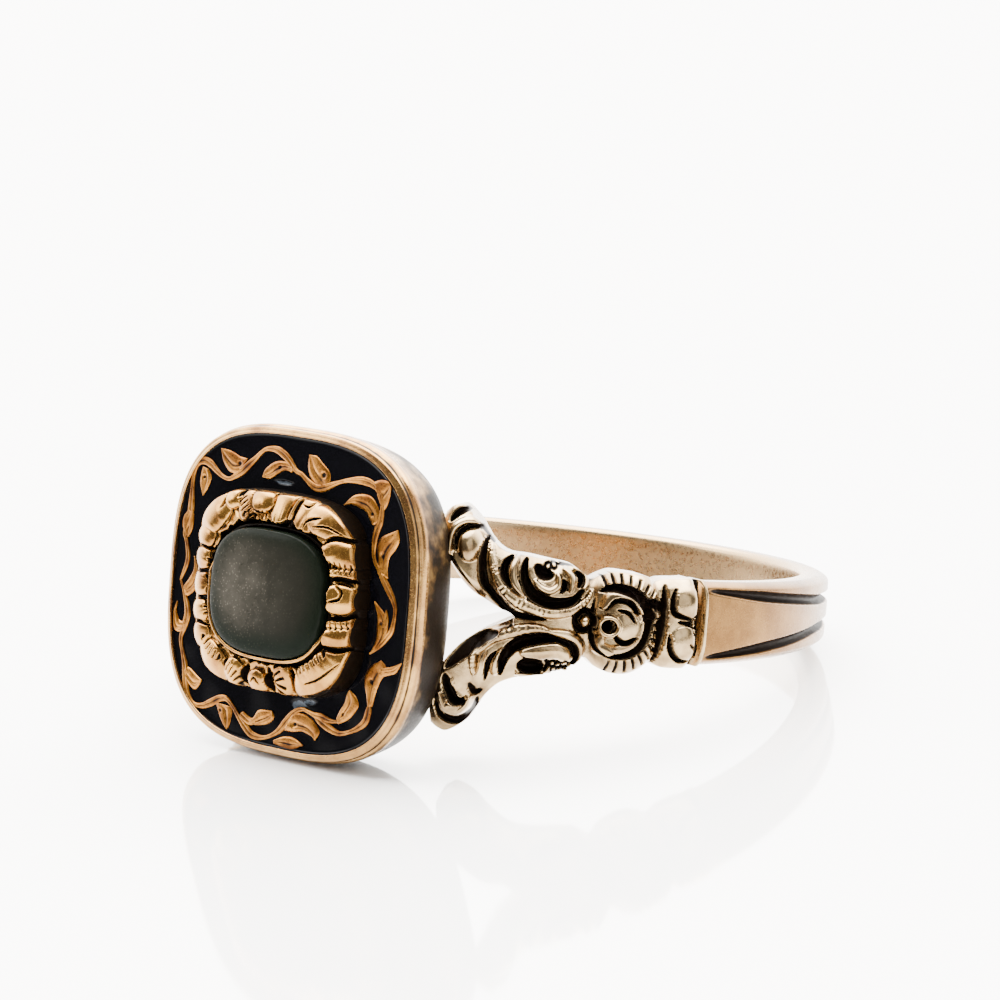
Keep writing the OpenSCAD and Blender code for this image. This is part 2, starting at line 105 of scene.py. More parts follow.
def onHoop(arc, w, height, side=1):
    # arc is a length on the map radius from the middle of the head, w lies along the finger, height is over the bore
    turn = arc / ring["mapRadius"]
    r = ring["boreRadius"] + height
    return np.stack([side * r * np.sin(turn), -r * np.cos(turn), w + 0 * r], -1)


def unit(values):
    # kept between 0 and 1
    return np.clip(values, 0, 1)


def fullTurn(count):
    return np.linspace(0, 2 * np.pi, count, endpoint=False)


def smoothLine(points, count):
    # Catmull-Rom curve through the points, spaced evenly: with 16 steps t between two of them,
    # p = 0.5 (2b + (c - a) t + (2a - 5b + 4c - d) t^2 + (3b - a - 3c + d) t^3)
    p = np.asarray(points, float)
    a, b, c, d = np.vstack([p[:1], p[:-2]]), p[:-1], p[1:], np.vstack([p[2:], p[-1:]])
    t = np.linspace(0, 1, 16, endpoint=False)[:, None, None]
    curve = 0.5 * (2 * b + (c - a) * t + (2 * a - 5 * b + 4 * c - d) * t**2 + (3 * b - a - 3 * c + d) * t**3)
    curve = np.vstack([curve.transpose(1, 0, 2).reshape(-1, p.shape[1]), p[-1:]])
    along = np.concatenate([[0], np.cumsum(np.linalg.norm(np.diff(curve, axis=0), axis=1))])
    spots = np.linspace(0, along[-1], count)
    return np.stack([np.interp(spots, along, curve[:, k]) for k in range(p.shape[1])], -1)


def squaredGaps(x, y, path):
    return (x[:, None] - path[:, 0]) ** 2 + (y[:, None] - path[:, 1]) ** 2


def stroke(x, y, line, half, taper=0.5):
    # how strongly a stroke marks each place: 1 - (d / h)^2, where d is the distance to its middle line and the
    # half width h swells as sin(pi s)^taper along it
    count = 48
    path = smoothLine(line, count)
    widths = half * np.sin(np.pi * (np.arange(count) + 0.5) / count) ** taper + 1e-6
    out = np.zeros_like(x)
    near = ((x > path[:, 0].min() - half) & (x < path[:, 0].max() + half)
            & (y > path[:, 1].min() - half) & (y < path[:, 1].max() + half))
    share = squaredGaps(x[near], y[near], path) / widths**2
    out[near] = unit(1 - share.min(axis=1)) if near.any() else 0
    return out


def hatched(x, y, line, half, taper, gap, level, fade):
    # fine cuts square to a stroke: (cos(2 pi s / gap) - level) times the stroke's own strength ^ fade, where s is
    # the length along its middle line
    count = 64
    path = smoothLine(line, count)
    on = stroke(x, y, line, half, taper)
    near = on > 0
    nearest = squaredGaps(x[near], y[near], path).argmin(1)
    along = np.linspace(0, np.linalg.norm(np.diff(path, axis=0), axis=1).sum(), count)[nearest]
    lined = np.zeros_like(x)
    lined[near] = unit(np.cos(2 * np.pi * along / gap) - level) * on[near] ** fade
    return lined


def dome(x, y, centre, radii):
    # 1 - (dx / a)^2 - (dy / b)^2, never under 0
    return np.clip(1 - ((x - centre[0]) / radii[0]) ** 2 - ((y - centre[1]) / radii[1]) ** 2, 0, None)


def ringed(away, radius, half):
    # a round ring or moat: 1 - ((r - radius) / half)^2, never under 0
    return unit(1 - ((away - radius) / half) ** 2)


def softened(field, reach, closed=False):
    # mean over 2 reach + 1 cells both ways, twice
    for turn in range(2):
        for axis in (0, 1):
            pad = [(reach, reach) if a == axis else (0, 0) for a in (0, 1)]
            wide = np.pad(field, pad, mode="wrap" if closed and axis == 0 else "edge")
            size = field.shape[axis]
            moved = [np.take(wide, range(k, k + size), axis=axis) for k in range(2 * reach + 1)]
            field = sum(moved) / len(moved)
    return field


def cushionRing(half, square, angles):
    # superellipse in polar form: r = ((|cos a| / hx)^n + (|sin a| / hy)^n)^(-1/n)
    c, s = np.cos(angles), np.sin(angles)
    r = ((np.abs(c) / half[0]) ** square + (np.abs(s) / half[1]) ** square) ** (-1 / square)
    return np.stack([r * c, r * s], -1)


def makeMesh(name, points, faces, material, attributes=None, smooth=True, weld=False, second=None):
    # whole arrays go in with foreach_set; all faces are quads; second: another material, and which faces take it
    points = np.asarray(points, np.float32).reshape(-1, 3)
    faces = np.asarray(faces, np.int32).reshape(-1, 4)
    mesh = bpy.data.meshes.new(name)
    mesh.vertices.add(len(points))
    mesh.vertices.foreach_set("co", points.ravel())
    mesh.loops.add(faces.size)
    mesh.loops.foreach_set("vertex_index", faces.ravel())
    mesh.polygons.add(len(faces))
    mesh.polygons.foreach_set("loop_start", np.arange(0, faces.size, 4, dtype=np.int32))
    mesh.update(calc_edges=True)
    mesh.validate()
    for key, values in (attributes or {}).items():
        layer = mesh.attributes.new(key, "FLOAT", "POINT")
        layer.data.foreach_set("value", np.asarray(values, np.float32).ravel())
    mesh.materials.append(material)
    if second:
        mesh.materials.append(second[0])
        mesh.polygons.foreach_set("material_index", second[1].astype(np.int32))
    if weld:
        work = bmesh.new()
        work.from_mesh(mesh)
        bmesh.ops.remove_doubles(work, verts=work.verts, dist=1e-7)
        work.to_mesh(mesh)
        work.free()
    mesh.polygons.foreach_set("use_smooth", np.full(len(mesh.polygons), smooth))
    piece = bpy.data.objects.new(name, mesh)
    bpy.context.scene.collection.objects.link(piece)
    return piece


def gridFaces(rows, columns, closedRows=False, closedColumns=False, start=0):
    # quads over a grid of points, counted row by row from start
    r = np.arange(rows if closedRows else rows - 1)
    c = np.arange(columns if closedColumns else columns - 1)
    i, j = np.meshgrid(r, c, indexing="ij")
    i2, j2 = (i + 1) % rows, (j + 1) % columns
    corners = [i * columns + j, i2 * columns + j, i2 * columns + j2, i * columns + j2]
    return start + np.stack(corners, -1).reshape(-1, 4)


def capFaces(loop):
    # quads across a closed loop with an even count of points, from its one side to the other
    k = np.arange(len(loop) // 2 - 1)
    return np.asarray(loop)[np.stack([k, k + 1, len(loop) - 2 - k, len(loop) - 1 - k], -1)]


def tubeFaces(rows, columns, start=0):
    # a tube with both its ends capped
    loop = start + np.arange(columns)
    return np.concatenate([gridFaces(rows, columns, closedColumns=True, start=start), capFaces(loop),
                           capFaces(loop + (rows - 1) * columns)[:, ::-1]])


def own(piece, node):
    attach(piece, "root")
    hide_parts(node)
    return piece


def hexColour(text):
    # sRGB hex to linear
    rgb = np.array([int(text[i:i + 2], 16) for i in (1, 3, 5)]) / 255
    linear = np.where(rgb <= 0.04045, rgb / 12.92, ((rgb + 0.055) / 1.055) ** 2.4)
    return (*linear.tolist(), 1.0)


def addNode(tree, kind, inputs=None, out=0, **settings):
    # adds a node with its links and settings, and gives back one of its outputs; the numbers in a Mix are its
    # sockets: 0 is the share, 6 and 7 are the two colours, and output 2 is the mixed one
    node = tree.nodes.new("ShaderNode" + kind)
    for name, value in settings.items():
        setattr(node, name, value)
    for name, value in (inputs or {}).items():
        if isinstance(value, bpy.types.NodeSocket):
            tree.links.new(value, node.inputs[name])
        else:
            node.inputs[name].default_value = value
    return node.outputs[out] if node.outputs else None


def newMaterial(name):
    material = bpy.data.materials.new(name)
    material.use_nodes = True
    material.node_tree.nodes.clear()
    return material, partial(addNode, material.node_tree)


# colours, sizes of blotches and grain in mm, where the tarnish and painted shade start and are full, and how rough
# it is
goldLooks = {
    "hoop": {"light": "#7c5c35", "warm": "#614426", "tarnishAndShade": "#120b06", "polished": "#a68a64", "blotch": 1.6,
             "grain": 0.14, "ragged": 0.16, "from": 0.2, "to": 0.7, "smooth": 0.22, "rough": 0.36, "bump": 0.07},
    "shoulder": {"light": "#b0976f", "warm": "#705a3f", "tarnishAndShade": "#120b06", "blotch": 0.9, "grain": 0.09,
                 "ragged": 0.35, "from": 0.14, "to": 0.7, "smooth": 0.12, "rough": 0.27, "bump": 0.3},
    "case": {"light": "#b08850", "warm": "#7c5835", "tarnishAndShade": "#110b07", "blotch": 1.1, "grain": 0.07,
             "ragged": 0.35, "from": 0.05, "to": 0.8, "smooth": 0.14, "rough": 0.3, "bump": 0.3},
    "vine": {"light": "#a9722f", "warm": "#6b3f18", "tarnishAndShade": "#0d0603", "blotch": 0.7, "grain": 0.06,
             "ragged": 0.3, "from": 0.2, "to": 0.8, "smooth": 0.22, "rough": 0.4, "bump": 0.3},
    "border": {"light": "#b28340", "warm": "#7f552a", "tarnishAndShade": "#0e0804", "blotch": 0.9, "grain": 0.06,
               "ragged": 0.3, "from": 0.2, "to": 0.65, "smooth": 0.14, "rough": 0.29, "bump": 0.3},
}
tarnishAndShadeLook = {"bare": -0.85, "dull": 0.22, "sheen": 0.04}


# worn fifteen carat gold: warm, rubbed satin on what stands proud, brown-black tarnish in every recess and as
# painted shade
def wornGold(name, look):
    material, add = newMaterial(name)
    place = add("TexCoord", out="Object")
    blotch = add("TexNoise", {"Vector": place, "Scale": 1 / (look["blotch"] * mm), "Detail": 5, "Roughness": 0.6},
                 out="Fac")
    grain = add("TexNoise", {"Vector": place, "Scale": 1 / (look["grain"] * mm), "Detail": 3, "Roughness": 0.7},
                out="Fac")
    recess = add("Attribute", out="Fac", attribute_name="recess")
    spread = add("MapRange", {"Value": blotch, "From Min": 0.35, "From Max": 0.65})
    metal = add("Mix", {0: spread, 6: hexColour(look["light"]), 7: hexColour(look["warm"])}, out=2,
                data_type="RGBA")
    if "polished" in look:          # paler where a finger has worn it
        inside = add("Attribute", out="Fac", attribute_name="inside")
        metal = add("Mix", {0: inside, 6: metal, 7: hexColour(look["polished"])}, out=2, data_type="RGBA")
    # tarnish and painted shade keep to the recess mask, with an uneven edge from the blotches
    uneven = add("Math", {0: spread, 1: look["ragged"], 2: -0.5 * look["ragged"]}, operation="MULTIPLY_ADD")
    ragged = add("Math", {0: recess, 1: uneven}, operation="ADD")
    dark = add("MapRange", {"Value": ragged, "From Min": look["from"], "From Max": look["to"]},
               interpolation_type="SMOOTHSTEP")
    colour = add("Mix", {0: dark, 6: metal, 7: hexColour(look["tarnishAndShade"])}, out=2, data_type="RGBA")
    rough = add("MapRange", {"Value": grain, "From Min": 0.3, "From Max": 0.7,
                             "To Min": look["smooth"], "To Max": look["rough"]})
    dull = add("Math", {0: dark, 1: tarnishAndShadeLook["dull"], 2: rough}, operation="MULTIPLY_ADD")
    bump = add("Bump", {"Strength": look["bump"], "Distance": 0.01 * mm, "Height": grain})
    bare = add("Math", {0: dark, 1: tarnishAndShadeLook["bare"], 2: 1.0}, operation="MULTIPLY_ADD")
    shader = add("BsdfPrincipled", {"Base Color": colour, "Metallic": bare, "Roughness": dull, "Normal": bump,
                                    "Specular IOR Level": tarnishAndShadeLook["sheen"]})
    add("OutputMaterial", {"Surface": shader})
    return material


golds = [wornGold("wornGold_" + name, look) for name, look in goldLooks.items()]
hoopGold, shoulderGold, caseGold, vineGold, borderGold = golds

# sizes in mm
enamelLook = {"black": "#040406", "chipped": "#3f464e", "wave": 1.8, "fleck": 0.12, "sheen": 0.06}


# vitreous enamel, fired and stoned flat: deep black and wet-looking, with dull grey where it is chipped and worn
def blackEnamel(look):
    material, add = newMaterial("vitreousEnamel")
    place = add("TexCoord", out="Object")
    worn = add("Attribute", out="Fac", attribute_name="worn")
    wave = add("TexNoise", {"Vector": place, "Scale": 1 / (look["wave"] * mm), "Detail": 2}, out="Fac")
    fleck = add("TexNoise", {"Vector": place, "Scale": 1 / (look["fleck"] * mm), "Detail": 4, "Roughness": 0.7},
                out="Fac")
    ragged = add("Math", {0: fleck, 1: worn}, operation="MULTIPLY")
    grey = add("MapRange", {"Value": ragged, "From Min": 0.3, "From Max": 0.45})
    colour = add("Mix", {0: grey, 6: hexColour(look["black"]), 7: hexColour(look["chipped"])}, out=2,
                 data_type="RGBA")
    rough = add("MapRange", {"Value": grey, "To Min": 0.07, "To Max": 0.5})
    bump = add("Bump", {"Strength": 0.25, "Distance": 0.03 * mm, "Height": wave})
    shader = add("BsdfPrincipled", {"Base Color": colour, "Roughness": rough, "Normal": bump, "IOR": 1.5,
                                    "Specular IOR Level": look["sheen"]})
    add("OutputMaterial", {"Surface": shader})
    return material


glassLook = {"glass": "#161612", "filmSheen": "#38352f", "edge": "#0a100a", "dust": "#6b665b", "dustShare": 0.6,
             "cloud": 0.8, "speck": 0.1, "clear": 0.03, "sheen": 0.015}


# low crown glass, dulled by wear: a grey film with dust specks lies on dark green-grey glass; a painted sheen
# lightens the film in one soft spot, and it is darker to its edge, sooner at the bottom as painted shade
def crownGlass(look):
    material, add = newMaterial("dulledGlass")
    place = add("TexCoord", out="Object")
    edge = add("Attribute", out="Fac", attribute_name="nearEdge")
    cloud = add("TexNoise", {"Vector": place, "Scale": 1 / (look["cloud"] * mm), "Detail": 6, "Roughness": 0.62},
                out="Fac")
    speck = add("TexVoronoi", {"Vector": place, "Scale": 1 / (look["speck"] * mm), "Randomness": 1.0},
                out="Distance")
    patchy = add("MapRange", {"Value": cloud, "From Min": 0.35, "From Max": 0.65, "To Min": 0.45, "To Max": 1.1})
    # a soft spot of the film is painted lighter: painted sheen
    thick = add("Attribute", out="Fac", attribute_name="filmSheen")
    filmSheen = add("Math", {0: patchy, 1: thick}, operation="MULTIPLY")
    dulled = add("Mix", {0: filmSheen, 6: hexColour(look["glass"]), 7: hexColour(look["filmSheen"])}, out=2, data_type="RGBA")
    edged = add("Mix", {0: edge, 6: dulled, 7: hexColour(look["edge"])}, out=2, data_type="RGBA")
    dust = add("MapRange", {"Value": speck, "From Min": 0.3, "From Max": 0.08})
    lying = add("Math", {0: dust, 1: filmSheen}, operation="MULTIPLY")
    dusty = add("Math", {0: lying, 1: look["dustShare"]}, operation="MULTIPLY")
    colour = add("Mix", {0: dusty, 6: edged, 7: hexColour(look["dust"])}, out=2, data_type="RGBA")
    rough = add("MapRange", {"Value": filmSheen, "To Min": 0.2, "To Max": 0.4})
    bump = add("Bump", {"Strength": 0.3, "Distance": 0.02 * mm, "Height": cloud})
    shader = add("BsdfPrincipled", {"Base Color": colour, "Roughness": rough, "Normal": bump, "IOR": 1.45,
                                    "Transmission Weight": look["clear"], "Specular IOR Level": look["sheen"]})
    add("OutputMaterial", {"Surface": shader})
    return material


hairLook = {"middle": "#2b281f", "edge": "#22301f", "shade": "#0c0b06", "strand": "#7c755f", "strandGap": 0.16,
            "cloud": 0.5}


# fine woven hair, darkened under the glass: strands cross at 0.16 mm and catch the light as pale specks
def wovenHair(look):
    material, add = newMaterial("wovenHair")
    place = add("TexCoord", out="Object")
    speck = add("TexVoronoi", {"Vector": place, "Scale": 1 / (look["strandGap"] * mm), "Randomness": 0.9},
                out="Distance")
    cloud = add("TexNoise", {"Vector": place, "Scale": 1 / (look["cloud"] * mm), "Detail": 5, "Roughness": 0.7},
                out="Fac")
    edge = add("Attribute", out="Fac", attribute_name="nearEdge")
    ground = add("Mix", {0: edge, 6: hexColour(look["middle"]), 7: hexColour(look["edge"])}, out=2,
                 data_type="RGBA")
    shade = add("MapRange", {"Value": cloud, "From Min": 0.38, "From Max": 0.62})
    shaded = add("Mix", {0: shade, 6: hexColour(look["shade"]), 7: ground}, out=2, data_type="RGBA")
    light = add("MapRange", {"Value": speck, "From Min": 0.25, "From Max": 0.1})
    spotted = add("Math", {0: light, 1: shade}, operation="MULTIPLY")
    colour = add("Mix", {0: spotted, 6: shaded, 7: hexColour(look["strand"])}, out=2, data_type="RGBA")
    bump = add("Bump", {"Strength": 0.5, "Distance": 0.04 * mm, "Height": speck})
    shader = add("BsdfPrincipled", {"Base Color": colour, "Roughness": 0.45, "Normal": bump})
    add("OutputMaterial", {"Surface": shader})
    return material


enamelBlack, glassClear, hairDark = blackEnamel(enamelLook), crownGlass(glassLook), wovenHair(hairLook)
print("materials made")

# plain band: reeded by two grooves that close up to the back, lengths in mm
band = {
    "jointDeg": 75.4, "wall": 0.95, "jointHalf": 1.3, "backHalf": 0.95,
    "rows": 420, "topColumns": 96, "underColumns": 14,
    # degrees from the head, the groove's distance from the middle
    "grooveAt": [(75.4, 1.06), (95, 0.74), (115, 0.45), (140, 0.36), (180, 0.33)],
    "grooveHalf": 0.19, "grooveDeep": 0.24,
    "grooveStart": 1.5, "grooveRun": 14, "grooveEase": 0.7,     # degrees past the joint, and on to its full size
    "startWide": 0.35, "startDeep": 0.4, "grooveDark": 1.6,     # shares of its width and depth at the joint
    "edgeFrom": 0.8, "edgeRun": 0.2, "edgeRound": 0.3, "crown": 0.04,       # shares of the half width and wall; mm
    "insideRound": 0.06, "insideShare": 0.98,
}


def makeBand():
    # grid of turn by width: height = wall, rounded at the edges and crowned, less the two grooves
    joint = math.radians(band["jointDeg"])
    turn = np.radians(np.linspace(band["jointDeg"], 360 - band["jointDeg"], band["rows"]))[:, None]
    back = (math.cos(joint) - np.cos(turn)) / (math.cos(joint) + 1)
    half = band["jointHalf"] + (band["backHalf"] - band["jointHalf"]) * back
    around = np.degrees(np.minimum(turn, 2 * np.pi - turn))
    groove = np.interp(around, *np.array(band["grooveAt"]).T)
    share = np.linspace(-1, 1, band["topColumns"])[None, :]
    share = np.sin(share * np.pi / 2) * 0.5 + share * 0.5          # closer together at the edges
    w = half * share
    into = around - band["jointDeg"]
    fade = unit((into - band["grooveStart"]) / band["grooveRun"]) ** band["grooveEase"]
    wide = band["grooveHalf"] * (band["startWide"] + (1 - band["startWide"]) * fade)
    cut = ringed(np.abs(w), groove, wide) * unit(into / 3 - 0.3)          # none in the joint's first degree
    edge = unit((np.abs(share) - band["edgeFrom"]) / band["edgeRun"])
    height = band["wall"] * (1 - band["edgeRound"] * edge**2) - band["crown"] * unit(np.abs(share)) ** 2
    height = height - band["grooveDeep"] * (band["startDeep"] + (1 - band["startDeep"]) * fade) * cut
    underShare = np.linspace(1, -1, band["underColumns"])[None, :]
    underHeight = band["insideRound"] * np.abs(underShare) ** 6 + 0 * turn
    w = np.concatenate([w, half * underShare * band["insideShare"]], 1)
    height = np.concatenate([height, underHeight], 1)
    recess = np.concatenate([unit(cut * band["grooveDark"]), np.zeros_like(underHeight)], 1)
    inside = np.concatenate([np.zeros_like(cut), np.ones_like(underHeight)], 1)
    points = onHoop(turn * ring["mapRadius"], w, height)
    mesh = makeMesh("reededBand", lay(points), tubeFaces(*w.shape), hoopGold, {"recess": recess, "inside": inside})
    return own(mesh, "gold_mount")


makeBand()
print("band made")

# shoulder map in mm: x along the arc from the middle of the head, w along the finger, towards the top in the photo
shoulder = {
    "start": 4.63, "end": 13.6, "stretch": 1.18, "rows": 300, "halfColumns": 84, "gapEnd": 7.09,
    "edgeDrop": 0.34, "lipDrop": 0.3, "lipReach": 0.4, "lowest": 0.5,
    "ridgeTaper": 0.35, "cutTaper": 0.45, "cutPower": 0.6,
    # tarnish: of what lies lower than the cells round it, and of the cuts
    "shadeCells": 5, "shadeDeep": 0.16, "lowShade": 0.75, "cutShade": 1.1, "cutDeep": 0.35,
    # x, half width towards the photo's top and bottom, height over the bore
    "form": [(4.63, 3.0, 3.45, 1.5), (4.9, 3.22, 3.6, 1.6), (5.2, 3.2, 3.64, 1.66), (5.64, 2.86, 3.38, 1.62),
        (5.9, 2.54, 3.05, 1.5), (6.12, 2.28, 2.72, 1.3), (6.42, 2.04, 2.34, 1.4), (6.8, 1.9, 2.02, 1.48),
        (7.4, 1.86, 1.8, 1.52), (8.2, 1.75, 1.66, 1.5), (8.8, 1.66, 1.52, 1.4), (9.2, 1.44, 1.25, 1.2),
        (9.45, 1.27, 1.12, 1.16), (9.75, 1.4, 1.36, 1.36), (10.2, 1.55, 1.52, 1.56), (10.7, 1.52, 1.54, 1.54),
        (11.15, 1.45, 1.36, 1.4), (11.45, 1.28, 1.2, 1.16), (11.8, 1.36, 1.34, 1.3), (12.4, 1.38, 1.36, 1.34),
        (12.62, 1.4, 1.3, 1.1), (12.7, 1.38, 1.3, 0.84), (12.92, 1.34, 1.3, 0.84), (12.98, 1.34, 1.33, 1.06),
        (13.12, 1.33, 1.33, 1.04)],
    # x, half width of the open gap
    "gap": [(4.63, 2.1), (5.0, 1.5), (5.5, 0.9), (6.0, 0.52), (6.5, 0.28), (6.9, 0.1), (7.09, 0.0)],
}
# each stroke: depth of a cut or height of a ridge, half width, and its run on the map
shoulderRidges = [
    (0.22, 0.2, [(6.2, 2.1), (6.26, 1.64), (6.48, 1.16), (6.87, 0.69), (7.53, 0.38), (8.2, 0.25), (8.87, 0.38),
        (9.26, 0.66), (9.42, 0.95)]),
    (0.22, 0.21, [(5.98, -1.8), (6.0, -1.15), (6.38, -0.68), (7.0, -0.4), (7.7, -0.24), (8.2, -0.3)]),
    (0.2, 0.17, [(8.1, -0.3), (8.8, -0.42), (9.2, -0.8), (9.1, -1.3), (8.8, -1.5)]),
    (0.2, 0.15, [(7.05, 1.85), (6.93, 1.5), (7.0, 1.1), (7.3, 0.74)]),
    (0.18, 0.2, [(6.6, -1.75), (6.68, -1.3), (6.95, -0.95)]),
    (0.28, 0.13, [(7.62, 1.2), (7.8, 1.02), (8.08, 0.93), (8.33, 1.12), (8.3, 1.45)]),
    (0.26, 0.12, [(8.5, 1.6), (8.75, 1.35), (8.7, 0.92)]),
    (0.22, 0.11, [(8.85, 1.62), (9.2, 1.5), (9.28, 1.2), (9.1, 0.95)]),
    (0.28, 0.3, [(7.4, -1.0), (7.9, -0.95), (8.5, -0.9), (8.8, -1.2)]),
    (0.18, 0.1, [(7.25, -1.72), (7.7, -1.78), (8.1, -1.68)]),
    (0.24, 0.12, [(5.02, 1.8), (5.03, 2.5), (5.37, 2.83), (5.84, 2.79), (6.1, 2.55)]),
    (0.22, 0.13, [(5.0, -2.45), (5.18, -2.88), (5.5, -3.02), (5.8, -2.82), (5.9, -2.55)]),
    (0.12, 0.05, [(5.35, -2.0), (5.42, -2.35), (5.7, -2.55)]),
]
shoulderCuts = [
    (0.34, 0.13, [(4.85, 2.75), (5.08, 3.03), (5.42, 3.18)]),
    (0.36, 0.09, [(5.17, 1.9), (5.2, 2.38), (5.48, 2.64), (5.85, 2.62), (6.02, 2.4)]),
    (0.45, 0.14, [(6.06, 2.5), (5.97, 2.05), (5.96, 1.6), (6.08, 1.0), (6.55, 0.5), (7.08, 0.13), (8.0, 0.04)]),
    (0.4, 0.13, [(6.02, 2.42), (6.25, 2.3), (6.5, 2.2)]),
    (0.5, 0.13, [(6.88, 1.85), (6.68, 1.6), (6.66, 1.3), (6.9, 0.94)]),
    (0.6, 0.19, [(7.32, 1.8), (7.28, 1.33), (7.55, 0.8), (8.15, 0.55), (8.8, 0.64), (9.18, 1.0)]),
    (0.5, 0.2, [(7.65, 1.6), (7.85, 1.4), (8.12, 1.36)]), (0.4, 0.08, [(8.5, 1.28), (8.56, 1.05), (8.42, 0.86)]),
    (0.45, 0.11, [(8.92, 1.5), (9.08, 1.3), (8.98, 1.04)]), (0.3, 0.07, [(8.3, 1.68), (8.6, 1.72), (8.85, 1.66)]),
    (0.6, 0.19, [(6.76, -1.75), (6.85, -1.2), (7.2, -0.78), (7.85, -0.57), (8.5, -0.56)]),
    (0.5, 0.13, [(8.4, -0.58), (8.9, -0.72), (9.1, -1.1), (8.95, -1.38)]),
    (0.7, 0.28, [(7.35, -1.45), (7.75, -1.42), (8.0, -1.46)]),
    (0.4, 0.08, [(8.12, -1.15), (8.2, -1.35), (8.12, -1.6)]),
    (0.35, 0.09, [(6.3, -1.95), (6.38, -1.4), (6.62, -1.05)]),
    (0.5, 0.18, [(5.12, -1.9), (5.28, -2.35), (5.5, -2.66), (5.72, -2.62)]),
    (0.45, 0.13, [(4.82, -2.7), (5.03, -3.15), (5.5, -3.29), (5.94, -2.98), (6.08, -2.55)]),
    (0.35, 0.1, [(5.85, -2.1), (6.0, -2.35), (6.2, -2.3)]),
    # the last cut is shallow and wide: painted shadow where the fork's body turns away from the light
    (0.3, 0.24, [(5.15, -1.65), (5.5, -1.25), (6.0, -0.8), (6.6, -0.48)]),
]
# round parts of the rose and the bead beside it
rose = {
    "x": 10.2, "pitX": 9.93, "pitW": -0.05, "pitRadius": 0.2, "pitDeep": 0.75,
    "ringRadius": 0.27, "ringHalf": 0.1, "ringTall": 0.3,
    "rays": 34, "rayRadius": 1.3, "rayHalf": 0.24, "rayDeep": 0.3, "rayLevel": 0.1,
    "rayTurn": (-1.75, 1.9),                                # radians
    "beadX": 9.25, "beadW": 0.05, "beadRadius": 0.19, "beadTall": 0.42,
    "moatRadius": 0.29, "moatHalf": 0.12, "moatDeep": 0.4,
}
roseCuts = [
    (0.5, 0.1, [(9.86, 0.42), (10.1, 0.74), (10.5, 0.7), (10.76, 0.36)]),
    (0.35, 0.07, [(10.2, 0.46), (10.5, 0.36), (10.66, 0.08)]),
    (0.45, 0.09, [(10.12, -0.3), (10.4, -0.54), (10.74, -0.35)]),
    (0.62, 0.21, [(9.7, 0.98), (10.2, 1.1), (10.8, 0.84), (11.12, 0.2), (10.98, -0.5), (10.6, -0.88),
        (10.05, -1.0)]),
    (0.35, 0.08, [(9.55, 0.75), (9.48, 0.0), (9.6, -0.7), (10.0, -1.0)]),
    (0.5, 0.17, [(10.95, 0.58), (11.25, 0.66), (11.6, 0.52)]),
    (0.5, 0.13, [(11.5, -1.2), (11.56, -0.4), (11.58, 0.3), (11.66, 1.2)]),
    (0.45, 0.09, [(11.95, 1.12), (11.82, 0.75), (11.92, 0.36), (12.4, 0.2)]),
    (0.45, 0.09, [(11.8, -0.25), (11.86, -0.75), (12.15, -1.08), (12.5, -1.1)]),
    (0.35, 0.07, [(12.0, 0.12), (12.3, 0.08), (12.55, 0.14)]),
    (0.3, 0.05, [(12.35, -0.55), (12.5, -0.68), (12.6, -0.62)]),
    (0.36, 0.15, [(12.84, 1.6), (12.82, 0.5), (12.8, -0.5), (12.8, -1.5)]),
]
roseRidges = [
    (0.22, 0.22, [(9.75, 0.5), (10.08, 0.88), (10.6, 0.8), (10.9, 0.4)]),
    (0.16, 0.2, [(10.88, 0.1), (10.8, -0.35), (10.4, -0.72), (10.0, -0.74)]),
    (0.2, 0.22, [(9.75, -0.4), (9.72, -0.7), (10.1, -0.85)]),
]
# domes: height, middle, radii
shoulderDomes = [
    (0.3, (5.57, 2.1), (0.36, 0.5)), (0.24, (5.42, -2.85), (0.3, 0.2)), (0.13, (12.24, 0.68), (0.5, 0.56)),
    (0.13, (12.24, -0.56), (0.5, 0.56)), (0.16, (10.48, -0.06), (0.4, 0.5)), (0.24, (11.33, 0.3), (0.2, 0.17)),
]
# milled strips on the first two ridges: fine cuts square to the run
milled = {"half": 0.16, "taper": 0.2, "gap": 0.13, "level": 0.55, "deep": 0.12}
# pearls left by a punch: a moat round each, and their middles
pearls = {
    "radius": 0.1, "half": 0.05, "deep": 0.3,
    "at": ([(8.35 + 0.19 * i, -1.3 - 0.05 * (i % 2)) for i in range(4)]
           + [(8.43 + 0.19 * i, -1.5) for i in range(3)]
           + [(12.5, 0.02), (12.52, 0.2), (12.38, 0.1), (12.56, -0.16), (8.0, 1.62), (8.18, 1.66)]),
}


def mapPlace(x):
    # the map is stretched past the rose: x' = x0 + (x - x0) / stretch
    return np.where(x > rose["x"], rose["x"] + (x - rose["x"]) / shoulder["stretch"], x)


def mapForm(x):
    # half widths to the photo's top and bottom, height and the gap's half width, along the map
    form, gap = smoothLine(shoulder["form"], 400), smoothLine(shoulder["gap"], 200)
    return *(np.interp(x, form[:, 0], form[:, k]) for k in (1, 2, 3)), np.interp(x, gap[:, 0], gap[:, 1])


